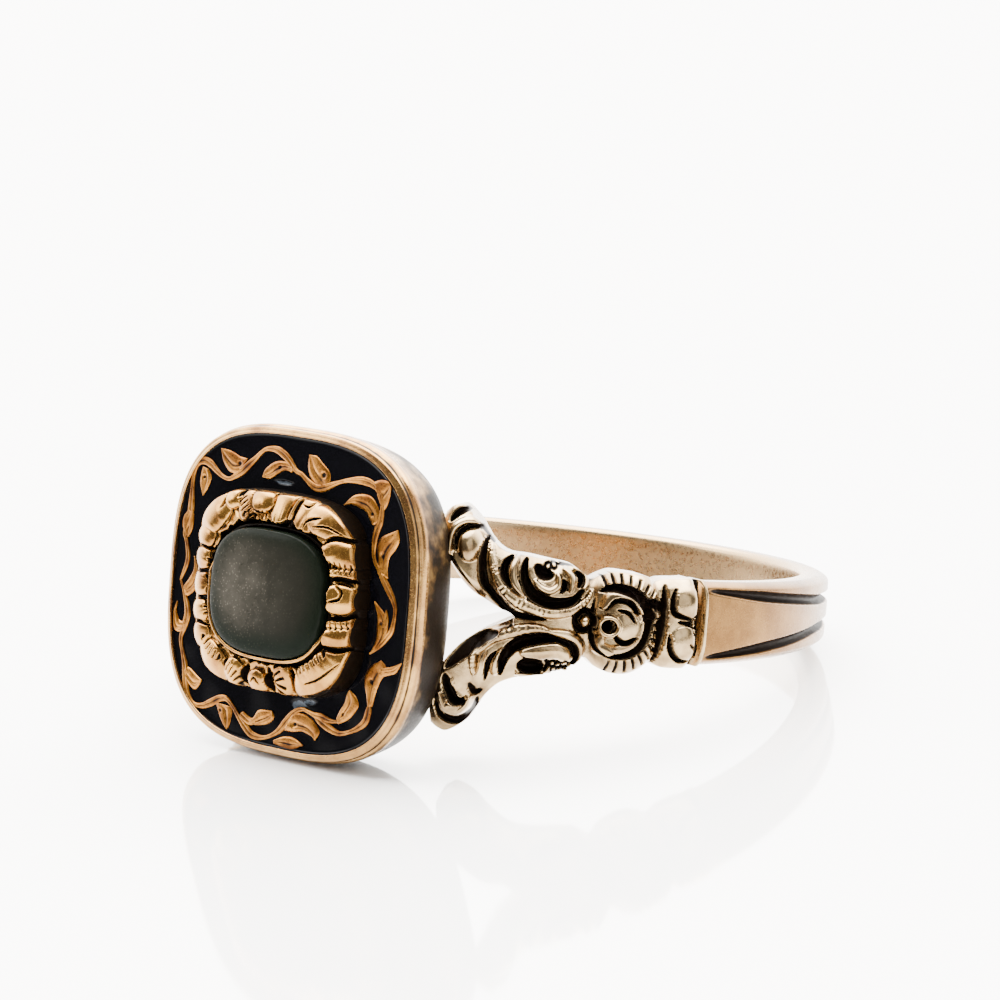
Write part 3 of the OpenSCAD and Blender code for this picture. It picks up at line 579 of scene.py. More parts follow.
def shoulderRelief(x, w):
    # base form with a crowned section, plus the highest dome or ridge, less the deepest cut, at each place
    x = mapPlace(x)
    top, bottom, base, gap = mapForm(x)
    out = unit(np.abs(w) / np.where(w > 0, top, bottom))
    lip = np.where(x < shoulder["gapEnd"], unit(1 - (np.abs(w) - gap) / shoulder["lipReach"]), 0)
    height = base * (1 - shoulder["edgeDrop"] * out**5) - shoulder["lipDrop"] * lip**2
    raised = np.zeros_like(x)
    for tall, half, line in shoulderRidges + roseRidges:
        raised = np.maximum(raised, tall * np.sqrt(stroke(x, w, line, half, shoulder["ridgeTaper"])))
    for tall, centre, radii in shoulderDomes:
        raised = np.maximum(raised, tall * np.sqrt(dome(x, w, centre, radii)))
    cut = np.zeros_like(x)
    for deep, half, line in shoulderCuts + roseCuts:
        cut = np.maximum(cut, deep * stroke(x, w, line, half, shoulder["cutTaper"]) ** shoulder["cutPower"])
    for tall, half, line in shoulderRidges[:2]:
        lined = hatched(x, w, line, milled["half"], milled["taper"], milled["gap"], milled["level"], 1)
        cut = np.maximum(cut, milled["deep"] * lined)
    # rose: drilled pit in a raised ring, ruffled outer petals with radial cuts, and the bead beside it
    fromPit = np.hypot(x - rose["pitX"], w - rose["pitW"])
    raised = np.maximum(raised, rose["ringTall"] * np.sqrt(ringed(fromPit, rose["ringRadius"], rose["ringHalf"])))
    cut = np.maximum(cut, rose["pitDeep"] * unit(1 - (fromPit / rose["pitRadius"]) ** 4))
    away = np.hypot(x - rose["x"], w)
    angle = np.arctan2(w, x - rose["x"])
    petal = unit(1 - np.abs(away - rose["rayRadius"]) / rose["rayHalf"]) ** 0.5
    rays = unit(np.cos(angle * rose["rays"]) - rose["rayLevel"]) * petal
    rays = rays * ((angle > rose["rayTurn"][0]) & (angle < rose["rayTurn"][1]))
    cut = np.maximum(cut, rose["rayDeep"] * rays)
    fromBead = np.hypot(x - rose["beadX"], w - rose["beadW"])
    raised = np.maximum(raised, rose["beadTall"] * np.sqrt(ringed(fromBead, 0, rose["beadRadius"])))
    cut = np.maximum(cut, rose["moatDeep"] * ringed(fromBead, rose["moatRadius"], rose["moatHalf"]))
    for px, pw in pearls["at"]:
        cut = np.maximum(cut, pearls["deep"] * ringed(np.hypot(x - px, w - pw), pearls["radius"], pearls["half"]))
    return height + raised - cut, cut


def makeShoulder(side, name):
    # grid of arc by width in two halves that part at the gap; the underside is a grid of four points a row
    rows, half = shoulder["rows"], shoulder["halfColumns"]
    x = np.linspace(shoulder["start"], shoulder["end"], rows)[:, None]
    top, bottom, _, gap = mapForm(mapPlace(x))
    gap = np.maximum(gap, 0)
    share = np.linspace(0, 1, half)[None, :]
    w = np.concatenate([-(bottom + (gap - bottom) * share), (top + (gap - top) * share)[:, ::-1]], 1)
    x = x + 0 * w
    height, cut = shoulderRelief(x, w)
    height = np.maximum(height, shoulder["lowest"])
    low = unit((softened(height, shoulder["shadeCells"]) - height) / shoulder["shadeDeep"])
    dark = shoulder["cutShade"] * unit(cut / shoulder["cutDeep"])
    recess = unit(shoulder["lowShade"] * low + dark)
    columns = 2 * half
    corners = np.array([0, half - 1, half, columns - 1])
    under = onHoop(x[:, corners], w[:, corners], 0 * x[:, corners], side)
    points = np.concatenate([onHoop(x, w, height, side).reshape(-1, 3), under.reshape(-1, 3)])
    underStart = rows * columns

    def topAt(row, column):
        return row * columns + column

    def underAt(row, corner):
        return underStart + 4 * row + corner

    def wall(r, column, corner, turn=1):
        # between one edge of the top and the underside's corner below it
        quads = [topAt(r, column), underAt(r, corner), underAt(r + 1, corner), topAt(r + 1, column)]
        return np.stack(quads, -1)[:, ::turn]

    i = np.arange(rows - 1)
    parted = i[(gap[:-1, 0] > 0) | (gap[1:, 0] > 0)]
    strip = np.tile(np.arange(columns - 1), rows - 1)
    faces = [gridFaces(rows, columns)[strip != half - 1], wall(i, 0, 0), wall(i, columns - 1, 3, -1)]
    for e in (0, 2):
        faces.append(np.stack([underAt(i, e), underAt(i, e + 1), underAt(i + 1, e + 1), underAt(i + 1, e)], -1))
    faces += [wall(parted, half - 1, 1, -1), wall(parted, half, 2)]
    for row, turn in ((0, 1), (rows - 1, -1)):
        for first, e in ((0, 0), (half, 2)):
            loop = np.concatenate([[underAt(row, e)], topAt(row, first + np.arange(half)), [underAt(row, e + 1)]])
            faces.append(capFaces(loop)[:, ::turn])
    faces = np.concatenate(faces)
    if side < 0:
        faces = faces[:, ::-1]
    recess = np.concatenate([recess.ravel(), np.zeros(4 * rows)])
    second = hoopGold, (faces >= underStart).all(axis=1)
    mesh = makeMesh(name, lay(points), faces, shoulderGold, {"recess": recess}, weld=True, second=second)
    return own(mesh, "gold_mount")


makeShoulder(1, "shoulderRight")
makeShoulder(-1, "shoulderLeft")
print("shoulders made")

# head case, in mm
head = {
    "half": (5.25, 5.0), "square": 3, "centre": 0.08, "rows": 84, "around": 420,
    # growth of the half size and height over the enamel, from the enamel's edge to the back
    "profile": [(-0.21, -0.33), (-0.21, -0.12), (-0.206, 0.0), (-0.196, 0.055), (-0.172, 0.08), (-0.148, 0.07),
        (-0.13, 0.045), (-0.07, 0.035), (-0.01, 0.01), (0.015, -0.05), (0.012, -0.11), (0.03, -0.15),
        (0.062, -0.18), (0.084, -0.25), (0.088, -0.34), (0.07, -0.46), (0.04, -0.6), (0.0, -0.8), (-0.05, -1.05),
        (-0.12, -1.35), (-0.21, -1.62), (-0.35, -1.88), (-0.52, -2.08), (-0.62, -2.13)],
    "grooveDown": 0.09, "grooveHalf": 0.05, "grooveSoft": 1.4,
    # darkness of the side, tarnish and painted shade: depth behind the enamel, amount; then the groove's and the
    # back's tarnish, and how much less dark the top is painted
    "side": [(0.34, 0), (0.5, 0.72), (0.8, 0.85), (1.0, 1), (1.85, 1), (2.12, 0.5)],
    "grooveTarnish": 0.85, "backTarnish": 0.1, "topLighter": 0.6,
}


def makeHeadCase():
    # the profile is carried round a cushion outline that grows with it
    profile = smoothLine(head["profile"], head["rows"])
    angles = fullTurn(head["around"])
    half = np.array(head["half"])
    flat = np.stack([cushionRing(half + grow, head["square"], angles) for grow in profile[:, 0]])
    height = profile[:, 1][:, None] + 0 * angles[None, :]
    points = onFace(flat[..., 0] + head["centre"], flat[..., 1], height).reshape(-1, 3)
    count = len(angles)
    # one point in the middle closes the case behind, another makes the floor under the enamel
    points = np.concatenate([points, onFace(np.zeros(2), np.zeros(2), profile[[-1, 0], 1])])
    k = np.arange(0, count, 2)
    last = (len(profile) - 1) * count
    cap = np.stack([last + k, 0 * k + len(points) - 2, last + (k + 2) % count, last + k + 1], -1)
    floor = np.stack([(k + 2) % count, 0 * k + len(points) - 1, k, k + 1], -1)
    faces = np.concatenate([gridFaces(len(profile), count, closedColumns=True), cap, floor])
    groove = unit(head["grooveSoft"] - np.abs(profile[:, 1] + head["grooveDown"]) / head["grooveHalf"])
    # the side darkens with depth behind the enamel: tarnish and painted shade
    side = np.interp(-profile[:, 1], *np.array(head["side"]).T)
    # the side is painted less dark along its top, where the light falls
    around = 1 - head["topLighter"] * unit(np.sin(angles))
    recess = np.maximum(head["grooveTarnish"] * groove[:, None], side[:, None] * around)
    recess = np.concatenate([recess.ravel(), [head["backTarnish"], 1]])
    return own(makeMesh("headCase", lay(points), faces, caseGold, {"recess": recess}), "gold_mount")


makeHeadCase()
print("head case made")

# enamel field: a flat ring of enamel from the border out to the rim
enamel = {
    "half": (5.05, 4.8), "square": 3, "innerHalf": (3.4, 2.95), "innerSquare": 3.4, "around": 300, "across": 60,
    "thick": 0.3, "sunk": 0.02, "climb": 0.03, "climbFrom": 0.95, "climbRun": 0.05,     # it climbs at the rim
    "wave": 0.006, "waveTurns": (3, 2.6),                           # mm, radians per mm across and along
    # worn places: x, y, radius across, radius along
    "worn": [(-0.5, 3.33, 0.5, 0.075), (0.85, -3.38, 0.42, 0.24), (1.3, -3.2, 0.3, 0.1)], "wornDeep": 0.05,
    "wornGrey": 1.4,
}


def closedRing(x, y, height):
    # outlines in columns, closed both ways, with faces that turn outwards
    return lay(onFace(x, y, height)), gridFaces(*x.shape, closedRows=True, closedColumns=True)[:, ::-1]


def makeEnamel():
    # grid of angle by t from the inner outline to the outer one, then the bottom
    angles = fullTurn(enamel["around"])[:, None]
    inner = cushionRing(enamel["innerHalf"], enamel["innerSquare"], angles)
    outer = cushionRing(enamel["half"], enamel["square"], angles)
    t = np.linspace(0, 1, enamel["across"])[None, :, None]
    flat = inner + (outer - inner) * t
    x, y = flat[..., 0], flat[..., 1]
    t = t[..., 0] + 0 * x
    worn = sum(dome(x, y, row[:2], row[2:]) for row in enamel["worn"])
    height = -enamel["sunk"] + enamel["climb"] * unit((t - enamel["climbFrom"]) / enamel["climbRun"]) ** 2
    turnX, turnY = enamel["waveTurns"]
    height = height + enamel["wave"] * np.sin(turnX * x + 1) * np.sin(turnY * y)
    height = height - enamel["wornDeep"] * unit(worn) ** 2
    bottom = np.full_like(height[:, :1], -enamel["thick"])
    x = np.concatenate([x, x[:, -1:], x[:, :1]], 1)
    y = np.concatenate([y, y[:, -1:], y[:, :1]], 1)
    height = np.concatenate([height, bottom, bottom], 1)
    worn = unit(np.concatenate([worn, 0 * bottom, 0 * bottom], 1) * enamel["wornGrey"])
    mesh = makeMesh("enamelField", *closedRing(x, y, height), enamelBlack, {"worn": worn})
    return own(mesh, "black_enamel")


makeEnamel()
print("enamel made")

# vine left standing in gold, in mm on the face: x towards the right-hand shoulder, y up along the finger
vineStems = {
    "top": [(-4.65, -0.2), (-4.4, 0.45), (-4.5, 1.0), (-4.62, 1.3), (-4.44, 1.87), (-4.42, 2.74), (-4.39, 3.19),
        (-4.25, 3.5), (-3.99, 3.61), (-3.68, 3.53), (-3.38, 3.34), (-3.12, 3.21), (-2.85, 3.17), (-2.62, 3.27),
        (-2.32, 3.46), (-2.06, 3.68), (-1.79, 3.91), (-1.49, 4.18), (-1.26, 4.29), (-0.92, 4.31), (-0.65, 4.23),
        (-0.35, 4.06), (0, 3.76), (0.25, 3.68), (0.53, 3.5), (0.87, 3.34), (1.22, 3.38), (1.71, 3.57), (2.2, 3.72),
        (2.81, 3.79), (3.3, 3.7), (3.6, 3.46), (3.7, 3.08), (3.66, 2.66), (3.53, 2.32), (3.47, 1.9), (3.53, 1.49),
        (3.79, 1.15), (4.17, 0.69), (4.47, 0.31), (4.55, 0), (4.47, -0.5), (4.25, -0.81), (3.98, -1.11),
        (3.64, -1.36)],
    "cornerRight": [(3.79, -2.85), (3.75, -3.19), (3.64, -3.46), (3.37, -3.68), (3.0, -3.86), (2.58, -3.95),
        (2.01, -3.8), (1.56, -3.6)],
    "bottom": [(2.54, -3.61), (2.24, -3.63), (1.86, -3.57), (1.56, -3.55), (1.25, -3.48), (1.03, -3.45),
        (0.72, -3.57), (0.42, -3.87), (0.08, -4.25), (-0.28, -4.48), (-0.65, -4.59), (-1.07, -4.56), (-1.37, -4.37),
        (-1.68, -4.1), (-1.94, -3.84), (-2.25, -3.63), (-2.55, -3.65), (-2.93, -3.84), (-3.3, -3.99),
        (-3.68, -3.99), (-3.95, -3.76), (-4.1, -3.46), (-4.2, -2.85), (-4.33, -2.47), (-4.45, -2.0), (-4.25, -1.2),
        (-4.5, -0.5), (-4.65, -0.2)],
    "leafStalk": [(-0.95, -4.12), (-1.22, -4.16), (-1.6, -3.99)],
}
# each leaf from its base to its tip: its one edge, its other edge, and the drilled eye's middle and radius
vineLeaves = {
    "crown": ([(1.42, 3.5), (1.38, 3.85), (1.03, 4.12), (0.8, 4.29), (0.53, 4.31)],
        [(1.1, 3.42), (0.84, 3.48), (0.59, 3.72), (0.5, 4.03), (0.53, 4.31)], (1.18, 3.76, 0.11)),
    "corner": ([(3.3, 3.78), (3.55, 3.88), (3.85, 3.88), (4.0, 3.78)],
        [(3.72, 3.0), (3.86, 3.2), (3.96, 3.5), (4.0, 3.78)], None),
    "hook": ([(3.56, 2.59), (3.58, 2.89), (3.43, 3.14), (3.19, 3.33), (2.88, 3.37), (2.54, 3.31), (2.31, 3.15),
        (2.12, 2.96)],
        [(3.36, 2.5), (3.22, 2.68), (3.1, 2.86), (2.98, 2.93), (2.81, 2.97), (2.6, 3.02), (2.35, 3.02),
        (2.12, 2.96)], (3.3, 2.83, 0.08)),
    "rightUpper": ([(3.8, 1.15), (3.7, 1.56), (3.66, 1.9), (3.77, 2.17), (4.13, 2.36), (4.42, 2.49)],
        [(4.12, 0.98), (4.07, 1.3), (4.12, 1.64), (4.33, 1.9), (4.46, 2.17), (4.42, 2.49)], (3.87, 1.62, 0.09)),
    "rightMiddle": ([(3.64, -1.36), (3.84, -0.96), (3.86, -0.58), (3.84, -0.2), (3.68, 0.24)],
        [(3.9, -1.2), (4.19, -0.8), (4.26, -0.43), (4.12, -0.12), (3.68, 0.24)], (4.02, -0.4, 0.08)),
    "rightProng": ([(4.05, -0.5), (4.1, -0.25), (4.2, 0.05)],
        [(4.25, -0.5), (4.27, -0.25), (4.2, 0.05)], None),
    "rimSprig": ([(4.0, -1.8), (4.3, -1.7), (4.6, -1.62), (5.0, -1.45)],
        [(4.15, -2.0), (4.5, -1.88), (4.75, -1.78), (5.0, -1.45)], None),
    "rightLower": ([(3.72, -2.95), (3.64, -2.62), (3.54, -2.32), (3.54, -2.02), (3.79, -1.7), (4.13, -1.5)],
        [(3.88, -2.95), (3.96, -2.55), (4.1, -2.17), (4.27, -1.9), (4.3, -1.66), (4.13, -1.5)], (3.79, -2.2, 0.09)),
    "bottomRight": ([(2.55, -3.68), (2.92, -3.48), (3.17, -3.23), (3.3, -3.0), (3.21, -2.79), (2.94, -2.57)],
        [(2.48, -3.5), (2.6, -3.25), (2.77, -3.0), (2.82, -2.78), (2.85, -2.65), (2.94, -2.57)],
        (2.72, -3.36, 0.07)),
    "bottomMiddle": ([(0.66, -3.62), (0.99, -3.6), (1.25, -3.66), (1.58, -3.83), (1.76, -4.06), (1.64, -4.32)],
        [(0.3, -4.2), (0.72, -4.18), (1.03, -4.12), (1.29, -4.16), (1.5, -4.22), (1.64, -4.32)],
        (0.72, -3.98, 0.09)),
    "bottomRim": ([(-0.1, -4.58), (0.3, -4.42), (0.7, -4.4), (1.15, -4.55)],
        [(-0.1, -4.68), (0.3, -4.72), (0.7, -4.72), (1.15, -4.55)], None),
    "bottomLeft": ([(-2.72, -3.8), (-2.6, -4.0), (-2.48, -4.24), (-2.3, -4.45), (-2.15, -4.56)],
        [(-2.05, -3.85), (-2.03, -4.0), (-2.05, -4.22), (-2.08, -4.4), (-2.15, -4.56)], (-2.5, -4.02, 0.07)),
    "pale": ([(-1.22, -4.2), (-1.0, -3.98), (-0.92, -3.85), (-0.73, -3.74), (-0.26, -3.7)],
        [(-1.1, -4.24), (-0.84, -4.22), (-0.46, -4.12), (-0.2, -3.92), (-0.26, -3.7)], None),
    "leftLower": ([(-4.2, -3.0), (-4.06, -2.91), (-3.68, -3.1), (-3.4, -3.22)],
        [(-4.1, -3.25), (-3.95, -3.4), (-3.68, -3.52), (-3.4, -3.22)], None),
    "topLeft": ([(-2.14, 3.86), (-2.47, 3.89), (-2.7, 3.97), (-3.0, 4.05), (-3.27, 4.07)],
        [(-2.5, 3.36), (-2.85, 3.42), (-3.04, 3.57), (-3.19, 3.78), (-3.27, 4.07)], (-2.42, 3.7, 0.09)),
    "topMiddle": ([(-0.2, 3.92), (-0.54, 3.97), (-0.92, 3.91), (-1.3, 3.65), (-1.4, 3.4)],
        [(-0.16, 3.68), (-0.5, 3.72), (-0.8, 3.56), (-1.1, 3.38), (-1.4, 3.4)], (-0.7, 3.78, 0.07)),
    "leftUpper": ([(-4.02, 3.42), (-4.08, 3.15), (-4.08, 2.85), (-3.93, 2.52)],
        [(-3.8, 3.36), (-3.66, 3.1), (-3.76, 2.78), (-3.93, 2.52)], (-3.92, 3.1, 0.07)),
    "leftSide": ([(-4.5, 2.0), (-4.72, 1.75), (-4.7, 1.4), (-4.45, 1.15)],
        [(-4.3, 1.9), (-4.3, 1.6), (-4.35, 1.35), (-4.45, 1.15)], None),
    "leftMiddle": ([(-4.5, -0.4), (-4.25, -0.1), (-4.1, 0.2), (-4.1, 0.6)],
        [(-4.35, -0.7), (-4.0, -0.4), (-3.9, 0.1), (-4.1, 0.6)], None),
    "leftBottom": ([(-4.3, -1.5), (-4.6, -1.5), (-4.75, -1.2), (-4.72, -0.9)],
        [(-4.35, -1.8), (-4.75, -1.8), (-4.85, -1.3), (-4.72, -0.9)], None),
}
vine = {
    "tall": 0.035, "sink": 0.12, "stemHalf": 0.098, "stemSteps": 8, "stemEnd": 0.35, "endSlope": 14,
    "swell": 0.35, "swellLength": 1.9,
    # across a stem: place, share of its height, tarnish; the outermost points are sunk in the enamel
    "stem": [(-1, 0, 1), (-1, 0, 0.6), (-0.8, 1, 0), (-0.35, 0.9, 0.25), (-0.06, 0.5, 0.62),
             (0.06, 0.5, 0.62), (0.35, 0.9, 0.25), (0.8, 1, 0), (1, 0, 0.6), (1, 0, 1)],
    "leafRows": 26, "leafColumns": 16, "leafSwell": 1.06, "tipHalf": 0.01, "leafEdge": 0.2, "edgeSlope": 6,
    "veinBend": 0.12, "bendTurn": 3, "veinHalf": 0.08, "veinDeep": 0.03, "veinIn": 5, "veinOut": 2.2,
    "veinTarnish": 0.62, "sideShade": 0.3, "eyeDeep": 0.05,
}


def makeStem(line):
    # a flat-topped profile carried along the run, its half width swelling as 1 + swell sin(2 pi s / swellLength)
    across, up, lined = np.array(vine["stem"]).T
    up = vine["tall"] * up
    up[[0, -1]] = -vine["sink"]
    count = vine["stemSteps"] * len(line)
    path = smoothLine(line, count)
    along = np.gradient(path, axis=0)
    along /= np.linalg.norm(along, axis=1)[:, None]
    normal = np.stack([-along[:, 1], along[:, 0]], -1)
    s = np.linspace(0, 1, count)
    length = np.linalg.norm(np.diff(path, axis=0), axis=1).sum()
    thin = vine["stemEnd"] + (1 - vine["stemEnd"]) * unit(np.minimum(s, 1 - s) * vine["endSlope"])
    half = vine["stemHalf"] * thin * (1 + vine["swell"] * np.sin(2 * np.pi * s * length / vine["swellLength"]))
    flat = path[:, None] + normal[:, None] * (half[:, None] * across)[..., None]
    return onFace(flat[..., 0], flat[..., 1], up[None] + 0 * flat[..., 0]), np.tile(lined, count), 1


def makeLeaf(one, two, eye):
    # lines drawn straight across between the two edges, with a bent vein sunk along the middle
    rows, columns = vine["leafRows"], vine["leafColumns"]
    one, two = smoothLine(one, rows)[:, None], smoothLine(two, rows)[:, None]
    t = np.concatenate([[0], np.linspace(0, 1, columns - 2), [1]])[None, :, None]
    middle = (one + two) / 2
    one, two = middle + (one - middle) * vine["leafSwell"], middle + (two - middle) * vine["leafSwell"]
    # faces turn outwards whichever edge is the left one, and the tips keep a little width
    along, over = np.gradient(middle[:, 0], axis=0), (two - one)[:, 0]
    turn = 1 if (along[:, 0] * over[:, 1] - along[:, 1] * over[:, 0]).sum() > 0 else -1
    length = np.linalg.norm(along, axis=1)[:, None]
    left = turn * vine["tipHalf"] * np.stack([-along[:, 1], along[:, 0]], -1) / length
    one, two = one - left[:, None], two + left[:, None]
    flat = one + (two - one) * t
    s = np.linspace(0, 1, rows)[:, None]
    t = t[..., 0]
    rim = np.minimum(np.minimum(t, 1 - t) * vine["edgeSlope"], 1)
    vein = np.exp(-((t - 0.5 - vine["veinBend"] * np.sin(vine["bendTurn"] * s)) / vine["veinHalf"]) ** 2)
    vein = vein * unit(s * vine["veinIn"]) * unit((1 - s) * vine["veinOut"])
    height = vine["tall"] * (vine["leafEdge"] + (1 - vine["leafEdge"]) * rim) - vine["veinDeep"] * vein
    # one side of each leaf is painted darker across its width: painted shade
    mark = vine["veinTarnish"] * vein + vine["sideShade"] * t
    if eye:
        away = np.hypot(flat[..., 0] - eye[0], flat[..., 1] - eye[1])
        hole = unit(1 - (away / eye[2]) ** 4)
        height = height - vine["eyeDeep"] * hole
        mark = np.maximum(mark, hole)
    height[:, [0, -1]] = -vine["sink"]
    return onFace(flat[..., 0], flat[..., 1], height), mark.ravel(), turn


def makeVine():
    # stems and leaves are closed tubes in one mesh
    parts = [makeStem(line) for line in vineStems.values()] + [makeLeaf(*leaf) for leaf in vineLeaves.values()]
    faces, start = [], 0
    for grid, mark, turn in parts:
        faces.append(tubeFaces(*grid.shape[:2], start)[:, ::turn])
        start += len(mark)
    points = np.concatenate([grid.reshape(-1, 3) for grid, mark, turn in parts])
    recess = np.concatenate([mark for grid, mark, turn in parts])
    mesh = makeMesh("reservedVine", lay(points), np.concatenate(faces), vineGold, {"recess": recess})
    return own(mesh, "gold_mount")


makeVine()
print("vine made")

# chased border, in mm on the face
border = {
    "half": (3.6, 3.12), "square": 3.4, "hole": (2.56, 2.13), "holeSquare": 3.0, "centre": -0.1, "around": 760,
    "across": 72, "outerRise": 0.56, "innerRise": 0.86, "ground": 0.2, "topInset": 0.34, "sideInset": 0.05,
    # the jagged inner edge: depth, and waves in a turn; then the rounding of both edges, as shares of the width
    "jag": 0.05, "jagWaves": (23, 37), "outerRound": 0.12, "outerFrom": 0.93, "outerRun": 0.07,
    "innerRound": 0.1, "innerRun": 0.08, "lowest": 0.2, "wallDrop": 0.06, "foot": -0.28,
    "lobePower": 0.4, "cutTaper": 0.4, "cutPower": 0.6, "hatchTaper": 0.15, "hatchLevel": 0.2, "hatchDeep": 0.2,
    # tarnish: of what lies lower than the cells round it and of the cuts; painted shade along the inner edge
    "shadeCells": 6, "shadeDeep": 0.1, "cutShade": 0.13, "edgeShade": 0.04,
}
# leaves and buds beaten up from the ground: height, middle, radii, turn in degrees
borderLobes = [
    (0.3, (2.1, 2.4), (1.12, 0.5), -10), (0.3, (2.72, 1.55), (0.78, 0.42), -14),
    (0.32, (2.8, 0.18), (0.62, 0.5), 0), (0.3, (2.88, -0.97), (0.78, 0.34), 8),
    (0.3, (2.35, -2.2), (1.4, 0.72), 31), (0.24, (2.9, 0.95), (0.7, 0.2), 0),
    (0.22, (2.85, -0.55), (0.75, 0.18), 6), (0.22, (0.65, -2.55), (0.42, 0.62), 0),
    (0.3, (-0.43, -2.78), (0.44, 0.42), 0), (0.28, (-1.42, -2.66), (0.5, 0.52), 10),
    (0.28, (-2.35, -2.4), (0.85, 0.55), -40), (0.26, (-2.98, -1.62), (0.46, 0.5), 0),
    (0.26, (-3.08, -0.92), (0.45, 0.42), 0), (0.26, (-3.1, -0.1), (0.45, 0.5), 0),
    (0.26, (-3.1, 0.72), (0.45, 0.44), 0), (0.26, (-3.05, 1.4), (0.5, 0.42), 0),
    (0.28, (-2.75, 2.1), (0.85, 0.55), 42), (0.3, (-2.0, 2.68), (0.42, 0.34), 10),
    (0.24, (-1.35, 2.55), (0.4, 0.5), 0), (0.3, (-0.78, 2.74), (0.52, 0.42), 0),
    (0.24, (0.15, 2.58), (0.5, 0.62), 0), (0.3, (0.7, 2.56), (0.12, 0.62), -14), (0.24, (1.15, 2.5), (0.5, 0.6), 0),
]
# cuts: depth, half width, run
borderCuts = [
    (0.26, 0.08, [(1.97, 1.69), (2.46, 2.0), (3.05, 1.96), (3.4, 1.75)]),
    (0.28, 0.08, [(2.15, 0.66), (2.84, 0.82), (3.55, 0.7)]),
    (0.24, 0.06, [(2.72, 0.6), (2.95, 0.42), (2.9, 0.2), (2.6, 0.1)]),
    (0.28, 0.08, [(3.32, 0.68), (3.5, 0.35), (3.38, -0.05), (3.0, -0.38), (2.3, -0.42)]),
    (0.28, 0.08, [(2.24, -1.27), (2.84, -1.38), (3.5, -1.13)]),
    (0.3, 0.07, [(0.99, -2.14), (1.11, -2.55), (1.06, -3.09)]),
    (0.28, 0.15, [(0.02, -2.3), (0.04, -2.7), (0.1, -3.05)]),
    (0.28, 0.13, [(-0.82, -2.3), (-0.98, -2.6), (-0.92, -2.95)]),
    (0.2, 0.04, [(-0.6, -2.8), (-0.42, -2.66), (-0.25, -2.82)]),
    (0.18, 0.04, [(1.7, -2.55), (2.3, -2.3), (3.0, -1.75)]),
    (0.18, 0.04, [(1.5, -2.95), (2.0, -2.85), (2.5, -2.6)]),
    (0.25, 0.06, [(-3.4, -1.3), (-3.0, -1.26), (-2.6, -1.34)]),
    (0.25, 0.07, [(-3.4, -0.5), (-3.05, -0.52), (-2.65, -0.44)]),
    (0.25, 0.06, [(-3.4, 0.34), (-3.05, 0.3), (-2.6, 0.4)]),
    (0.25, 0.06, [(-3.4, 1.05), (-3.05, 1.08), (-2.6, 1.0)]),
    (0.24, 0.06, [(-2.4, 2.35), (-2.3, 2.6), (-2.4, 2.9)]),
    (0.28, 0.07, [(-0.32, 3.05), (-0.2, 2.7), (-0.35, 2.4)]),
    (0.24, 0.05, [(-1.2, 2.95), (-1.0, 2.5), (-0.55, 2.4)]), (0.28, 0.05, [(0.6, 3.0), (0.52, 2.6), (0.42, 2.1)]),
    (0.28, 0.05, [(0.86, 3.0), (0.78, 2.6), (0.66, 2.1)]), (0.2, 0.04, [(1.0, 2.85), (1.25, 2.8), (1.4, 2.95)]),
    (0.22, 0.05, [(1.2, 2.1), (1.35, 2.4), (1.9, 2.55)]), (0.16, 0.04, [(1.6, 2.25), (2.2, 2.3), (2.8, 2.1)]),
    (0.22, 0.12, [(0.3, 2.1), (0.55, 2.25), (0.9, 2.15)]),
]
# hatched runs: the run, half width, distance between cuts
borderHatch = [
    ([(2.1, 1.14), (2.8, 1.14), (3.5, 1.08)], 0.17, 0.17), ([(2.3, -0.62), (2.9, -0.6), (3.5, -0.46)], 0.14, 0.17),
    ([(1.3, -2.15), (1.9, -1.85), (2.4, -1.5)], 0.22, 0.21),
    ([(0.4, -2.25), (0.62, -2.65), (0.5, -3.0)], 0.26, 0.19),
    ([(-1.7, -2.35), (-1.35, -2.65), (-1.15, -2.95)], 0.2, 0.16),
    ([(-2.75, -1.72), (-2.4, -2.05), (-2.0, -2.25)], 0.16, 0.18),
    ([(-1.65, 2.85), (-1.35, 2.5), (-1.05, 2.2)], 0.2, 0.16),
    ([(-1.3, 2.28), (-0.85, 2.3), (-0.4, 2.38)], 0.16, 0.15), ([(-2.6, 0.2), (-2.7, 0.6), (-2.6, 0.9)], 0.12, 0.17),
    ([(-2.6, -1.1), (-2.7, -0.8), (-2.6, -0.4)], 0.12, 0.17),
]


def borderRelief(x, y):
    # a lobe is a flattened half ellipsoid: tall (1 - d^2)^0.4, d^2 = (u / a)^2 + (v / b)^2 on its own turned axes
    raised, cut = np.zeros_like(x), np.zeros_like(x)
    for tall, centre, radii, turn in borderLobes:
        c, s = math.cos(math.radians(turn)), math.sin(math.radians(turn))
        u, v = (x - centre[0]) * c + (y - centre[1]) * s, (y - centre[1]) * c - (x - centre[0]) * s
        raised = np.maximum(raised, tall * dome(u, v, (0, 0), radii) ** border["lobePower"])
    for deep, half, line in borderCuts:
        cut = np.maximum(cut, deep * stroke(x, y, line, half, border["cutTaper"]) ** border["cutPower"])
    for line, half, gap in borderHatch:
        lined = hatched(x, y, line, half, border["hatchTaper"], gap, border["hatchLevel"], 0.5)
        cut = np.maximum(cut, border["hatchDeep"] * lined)
    return raised, cut


